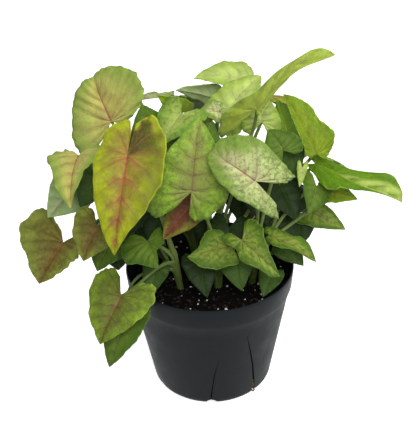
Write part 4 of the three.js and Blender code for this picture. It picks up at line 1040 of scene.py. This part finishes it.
# %% [markdown]
# ## Splits, notches and drain holes
# Water leaves the pot through notches in the corner of its foot and through holes in its floor. Two splits
# have torn up the wall from a notch, where the plastic gave way over the growing roots. A split is a narrow
# ribbon drawn on the wall, wide at the foot and closing to nothing, and pushed through the wall. Each
# cutter is taken out of the pot by a boolean and thrown away.

# %% Cuts in the pot
NOTCH_HEADINGS = (-150, -92, -46, 14, 74, 134, 174)
NOTCH_RADIUS = 5
NOTCH_RISE = 2.5
DRAIN_RADIUS = 5
DRAIN_OUT = 30
DRAINS = 4
CUT_DEPTH = 40
HOLE_SIDES = 24
# heading in degrees of each split, then its sideways place, height and width at some places, in mm
NARROW_SPLIT = (-94, [(0.4, -2, 2.2), (1.4, 8, 1.2), (2.9, 22, 0.9), (5.6, 41, 0.7), (10.9, 64, 0.1)])
WIDE_SPLIT = (-44, [
    (-2, -2, 4.4), (-4.4, 10, 3), (-5.8, 20, 2.2), (-10.9, 42, 1.7), (-17.2, 63, 1.2), (-24, 85, 0.3),
])


def cut_away(body, cutter):
    """Takes a cutter out of a body and removes it."""
    modify(body, "BOOLEAN", operation="DIFFERENCE", solver="EXACT", object=cutter)
    bpy.data.objects.remove(cutter)


def place_cutter(cutter, heading, spot):
    """Sends a cutter that was made facing the front to its place at a heading round the pot."""
    cutter.data.transform(Matrix.Rotation(math.radians(heading + 90), 4, "Z") @ Matrix.Translation(spot * MM))


def split_cutter(heading, path):
    """A ribbon along a path on the wall, pushed through it."""
    bpy.ops.object.select_all(action="DESELECT")
    bpy.ops.mesh.primitive_grid_add(x_subdivisions=1, y_subdivisions=len(path) - 1, size=2)
    ribbon = bpy.context.object
    mesh = ribbon.data
    for corner in mesh.vertices:
        step = round((corner.co.y + 1) / 2 * (len(path) - 1))
        aside, high, width = path[step]
        corner.co = Vector((aside + corner.co.x * width / 2, 0, high)) * MM
    bpy.ops.object.mode_set(mode="EDIT")
    bpy.ops.mesh.select_all(action="SELECT")
    bpy.ops.mesh.extrude_region_move(TRANSFORM_OT_translate={"value": (0, CUT_DEPTH * MM, 0)})
    bpy.ops.mesh.select_all(action="SELECT")
    bpy.ops.mesh.normals_make_consistent(inside=False)
    bpy.ops.object.mode_set(mode="OBJECT")
    place_cutter(ribbon, heading, Vector((0, -BASE_RADIUS - CUT_DEPTH / 2 - FOOT_RADIUS, 0)))
    return ribbon


def round_cutter(radius, depth, lying):
    """A bar that cuts a round hole. It stands upright, or lies from front to back."""
    bpy.ops.object.select_all(action="DESELECT")
    bpy.ops.mesh.primitive_cylinder_add(vertices=HOLE_SIDES, radius=radius * MM, depth=depth * MM)
    bar = bpy.context.object
    if lying:
        bar.data.transform(Matrix.Rotation(math.radians(90), 4, "X"))
    return bar


for heading, path in (NARROW_SPLIT, WIDE_SPLIT):
    cut_away(pot, split_cutter(heading, path))
for heading in NOTCH_HEADINGS:
    notch = round_cutter(NOTCH_RADIUS, 2 * FOOT_RADIUS, True)
    place_cutter(notch, heading, Vector((0, -BASE_RADIUS, NOTCH_RISE)))
    cut_away(pot, notch)
for number in range(DRAINS):
    drain = round_cutter(DRAIN_RADIUS, 6 * POT_WALL, False)
    place_cutter(drain, 360 * (number + 0.5) / DRAINS, Vector((0, -DRAIN_OUT, 0)))
    cut_away(pot, drain)
print("pot after its cuts:", len(pot.data.vertices), "vertices")


# %% [markdown]
# ## Black polypropylene
# The plastic is black with a slightly blue cast, satin from the mould. A fine grain keeps its sheen soft,
# and a veil of dust lies on it, thicker near the foot where wet mix has dried.

# %% Pot finish
POT_CREASE_ANGLE = 30
DUST_PATCH = 16.7
MOULD_GRAIN = 1.11  # a real one is finer, and this is as fine as a render can show
DUST_TOP = 90  # the dust lies thicker below this height
DUST_AMOUNT = {3: 0.1, 4: 0.22}  # there and at the foot
DUSTY = {1: 0.4, 2: 0.72}  # the veil from clean to dusty
SHEEN = {1: 0.3, 2: 0.7, 3: 0.42, 4: 0.58}  # and the roughness that it gives


def pot_material():
    """Black polypropylene with the mould's fine grain and a thin veil of dust."""
    material, tree, shader = new_material("moulded black polypropylene")
    place = add_node(tree, "TexCoord", {}, out="Object")
    high = add_node(tree, "SeparateXYZ", {"Vector": place}, out="Z")
    patches = {"Scale": 1 / (DUST_PATCH * MM), "Detail": 4.0, "Roughness": 0.65}
    veil = add_node(tree, "TexNoise", {"Vector": place, **patches})
    grain = add_node(tree, "TexNoise", {"Vector": place, "Scale": 1 / (MOULD_GRAIN * MM), "Detail": 2.0})
    foot = add_node(tree, "MapRange", {0: high, 1: DUST_TOP * MM, 2: 0.0, **DUST_AMOUNT})
    dusty = add_node(tree, "MapRange", {0: veil, **DUSTY}, **SMOOTH)
    dust = add_node(tree, "Math", {0: foot, 1: dusty}, **TIMES)
    height = add_node(tree, "Math", {0: veil, 1: 3.0, 2: grain}, **TIMES_PLUS)
    fill(shader, {
        "Base Color": add_node(tree, "Mix", {0: dust, 6: linear("#161a1c"), 7: linear("#343533")}, **MIX),
        "Roughness": add_node(tree, "MapRange", {0: veil, **SHEEN}),
        "Specular IOR Level": 0.08,
        "Normal": add_node(tree, "Bump", {"Strength": 0.2, "Distance": 0.3 * MM, "Height": height}),
    })
    return material


pot.data.materials.append(pot_material())
select_only(pot)
bpy.ops.object.shade_smooth_by_angle(angle=math.radians(POT_CREASE_ANGLE))
finish_piece(pot, "nursery_pot", "pot", "pot")


# %% [markdown]
# ## The potting mix
# The mix is dark peat with crumbs of bark and grains of white perlite. The solid soil is copied, its top is
# cut finer and roughened with a cloud pattern. Loose crumbs and grains are then scattered on it: one small
# faceted lump of each kind is made, and every copy is turned and scaled by its own random numbers.

# %% Soil
SOIL_CUTS = 6
SOIL_LUMPS = 7
SOIL_ROUGHNESS = 2.4
SOIL_TOP = 100  # faces above this height that look up are the soil's top
LOOKS_UP = 0.5  # the least upward share of such a face's normal
PEAT_LUMP = 3.85
PEAT_LIGHT = {1: 0.52, 2: 0.7}


def soil_material():
    """Wet peat: nearly black, matt and lumpy, its own dark colour made darker still as painted shade."""
    material, tree, shader = new_material("damp peat mix")
    place = add_node(tree, "TexCoord", {}, out="Object")
    rough = {"Scale": 1 / (PEAT_LUMP * MM), "Detail": 4.0, "Roughness": 0.7}
    lumps = add_node(tree, "TexNoise", {"Vector": place, **rough})
    light = add_node(tree, "MapRange", {0: lumps, **PEAT_LIGHT}, **SMOOTH)
    fill(shader, {
        # dark peat colours, darkened further as painted shade
        "Base Color": add_node(tree, "Mix", {0: light, 6: linear("#070605"), 7: linear("#17120d")}, **MIX),
        "Roughness": 0.9,
        "Specular IOR Level": 0.05,
        "Normal": add_node(tree, "Bump", {"Strength": 0.9, "Distance": 1.2 * MM, "Height": lumps}),
    })
    return material


soil = loose_copy("soil")
merge_points(soil)
soil.data.materials.append(soil_material())
for face in soil.data.polygons:
    face.select = face.normal.z > LOOKS_UP and face.center.z > SOIL_TOP * MM
bpy.ops.object.mode_set(mode="EDIT")
bpy.ops.mesh.select_mode(type="FACE")
bpy.ops.mesh.subdivide(number_cuts=SOIL_CUTS)
bpy.ops.object.mode_set(mode="OBJECT")
on_top = soil.vertex_groups.new(name="top")
on_top.add([v.index for v in soil.data.vertices if v.co.z > SOIL_TOP * MM], 1, "REPLACE")
clouds = bpy.data.textures.new("peat lumps", "CLOUDS")
clouds.noise_scale = SOIL_LUMPS * MM
clouds.noise_depth = 3
modify(soil, "DISPLACE", strength=SOIL_ROUGHNESS * MM, mid_level=0.5, direction="Z", vertex_group="top",
       texture=clouds, texture_coords="LOCAL")
finish_piece(soil, "potting_mix", "soil", "soil")
print("soil:", len(soil.data.polygons), "faces")


# %% [markdown]
# ## Crumbs and perlite
# The crumbs on the soil are dark bark, painted darker still as painted shade, and the grains are expanded
# glass, chalky white with grey dirt. A few crumbs have also worked their way out through the wide split and
# sit in it and on the notch below.

# %% Loose grains
SCATTER_SEED = 5
SCATTER_RADIUS = 72
SINK = 0.2
CRUMBS = dict(count=520, small=0.6, large=1.7, flat=0.6)
GRAINS = dict(count=70, small=0.6, large=1.3, flat=0.8)
OUT_OF_ROUND = (0.7, 1.25)
NARROWEST = 0.6  # as a share of the length
CRUMB_PATCH = 2.5
CRUMB_MIX = {1: 0.35, 2: 0.65}
# height on the wall and sideways place of the crumbs in the wide split
SPILLED = [(3, -2), (5, -4), (7, -2.8), (9, -4.4), (12, -4.4), (15, -5), (4.5, -1.4), (19, -5.8)]
SPILLED_SIZE = (0.7, 1.3)
SPILLED_FLAT = 0.9
SPILLED_SINK = 0.8
COLLAR_STEP = 3  # the wall would reach the rim this far inside the lip


def crumb_material(name, dark, light):
    """Dry matt crumbs in two shades."""
    material, tree, shader = new_material(name)
    place = add_node(tree, "TexCoord", {}, out="Object")
    patch = add_node(tree, "TexNoise", {"Vector": place, "Scale": 1 / (CRUMB_PATCH * MM), "Detail": 2.0})
    mixed = add_node(tree, "MapRange", {0: patch, **CRUMB_MIX})
    fill(shader, {
        "Base Color": add_node(tree, "Mix", {0: mixed, 6: linear(dark), 7: linear(light)}, **MIX),
        "Roughness": 0.85,
        "Specular IOR Level": 0.2,
        "Normal": add_node(tree, "Bump", {"Strength": 0.5, "Distance": 0.3 * MM, "Height": patch}),
    })
    return material


def lump(name, material):
    """One small faceted lump, pushed out of round."""
    bpy.ops.object.select_all(action="DESELECT")
    bpy.ops.mesh.primitive_ico_sphere_add(subdivisions=1, radius=MM)
    piece = bpy.context.object
    piece.name = name
    for corner in piece.data.vertices:
        corner.co *= draw.uniform(*OUT_OF_ROUND)
    piece.data.materials.append(material)
    return piece


def drop_copy(model, spot, size, flat):
    """A copy of a lump with its own mesh, turned and scaled at random, in its place."""
    grain = model.copy()
    grain.data = model.data.copy()
    bpy.context.collection.objects.link(grain)
    heading, pitch = draw.uniform(0, 2 * math.pi), draw.uniform(0, math.pi)
    turn = Matrix.Rotation(heading, 4, "Z") @ Matrix.Rotation(pitch, 4, "X")
    scale = Matrix.Diagonal((size, size * draw.uniform(NARROWEST, 1), size * flat, 1))
    grain.data.transform(Matrix.Translation(spot) @ scale @ turn)
    return grain


def scatter(model, count, small, large, flat):
    """Copies of a lump on the soil's top."""
    copies = []
    for _ in range(count):
        heading, out = draw.uniform(0, 2 * math.pi), SCATTER_RADIUS * math.sqrt(draw.random())
        above = Vector((out * math.cos(heading), out * math.sin(heading), POT_HEIGHT)) * MM
        spot = ground.ray_cast(above, Vector((0, 0, -1)))[0]
        size = draw.uniform(small, large)
        copies.append(drop_copy(model, spot + Vector((0, 0, (size * flat - SINK) * MM)), size, flat))
    bpy.data.objects.remove(model)
    return copies


draw = random.Random(SCATTER_SEED)
soil_faces = [tuple(f.vertices) for f in soil.data.polygons]
ground = BVHTree.FromPolygons([v.co for v in soil.data.vertices], soil_faces)
# the crumbs on the soil: dark bark colours, made darker still as painted shade
crumbs = scatter(lump("crumb", crumb_material("bark crumbs", "#0e0a08", "#221b15")), **CRUMBS)
model = lump("spilled", crumb_material("dried bark crumbs", "#4a3a1e", "#7b6638"))
split_turn = Matrix.Rotation(math.radians(WIDE_SPLIT[0] + 90), 4, "Z")
wall_lean = (RIM_RADIUS - BASE_RADIUS - COLLAR_STEP) / POT_HEIGHT
for high, aside in SPILLED:
    out = BASE_RADIUS + (high - FOOT_RADIUS) * wall_lean - SPILLED_SINK
    spot = split_turn @ (Vector((aside, -out, high)) * MM)
    crumbs.append(drop_copy(model, spot, draw.uniform(*SPILLED_SIZE), SPILLED_FLAT))
bpy.data.objects.remove(model)
join_all(crumbs, "bark_crumbs", "soil", "soil")
grains = scatter(lump("grain", crumb_material("perlite grains", "#8b857c", "#cfcac2")), **GRAINS)
join_all(grains, "perlite_grains", "soil", "soil")
print("loose:", len(crumbs), "crumbs and", len(grains), "grains")


# %% [markdown]
# ## The floor and the light
# The plant stands on a white sweep in soft daylight from a large window high in front of it, under a bright
# ceiling. The sweep glows a little, as paper lit from behind does, so it stays white up to the pot. It
# doesn't throw light back up, so the heart of the plant stays as dark as it is among real leaves.

# %% Stage
FLOOR_SIZE = 60000
PLANT_MIDDLE = Vector((0, 0, 170))
SKY = 0.95
GROUND = 0.1
SKY_SPAN = {1: -0.1, 2: 0.9, 3: GROUND, 4: SKY}

floor_material, _, floor_shader = new_material("white paper sweep")
fill(floor_shader, {
    "Base Color": linear("#f4f4f4"),
    "Roughness": 0.9,
    "Specular IOR Level": 0.0,
    "Emission Color": linear("#ffffff"),
    "Emission Strength": 0.62,
})
bpy.ops.mesh.primitive_plane_add(size=FLOOR_SIZE * MM)
floor = bpy.context.object
floor.name = "floor"
floor.data.materials.append(floor_material)
floor.visible_diffuse = False

world = bpy.data.worlds.new("studio")
bpy.context.scene.world = world
world.use_nodes = True
sky = world.node_tree
up = add_node(sky, "TexCoord", {}, out="Generated")
rise = add_node(sky, "SeparateXYZ", {"Vector": up}, out="Z")
strength = add_node(sky, "MapRange", {0: rise, **SKY_SPAN})
fill(sky.nodes["Background"], {"Strength": strength, "Color": linear("#ffffff")})


def soft_box(name, spot, size, watts):
    """A large square lamp that looks at the plant."""
    bpy.ops.object.light_add(type="AREA", location=Vector(spot) * MM)
    lamp = bpy.context.object
    lamp.name = name
    lamp.data.size = size * MM
    lamp.data.energy = watts
    lamp.rotation_euler = (PLANT_MIDDLE - Vector(spot)).to_track_quat("-Z", "Y").to_euler()
    return lamp


soft_box("window", (150, -1300, 1250), size=700, watts=23)
soft_box("fill", (1000, -300, 900), size=800, watts=6)
bpy.context.scene.view_settings.view_transform = "Standard"
print("stage ready")
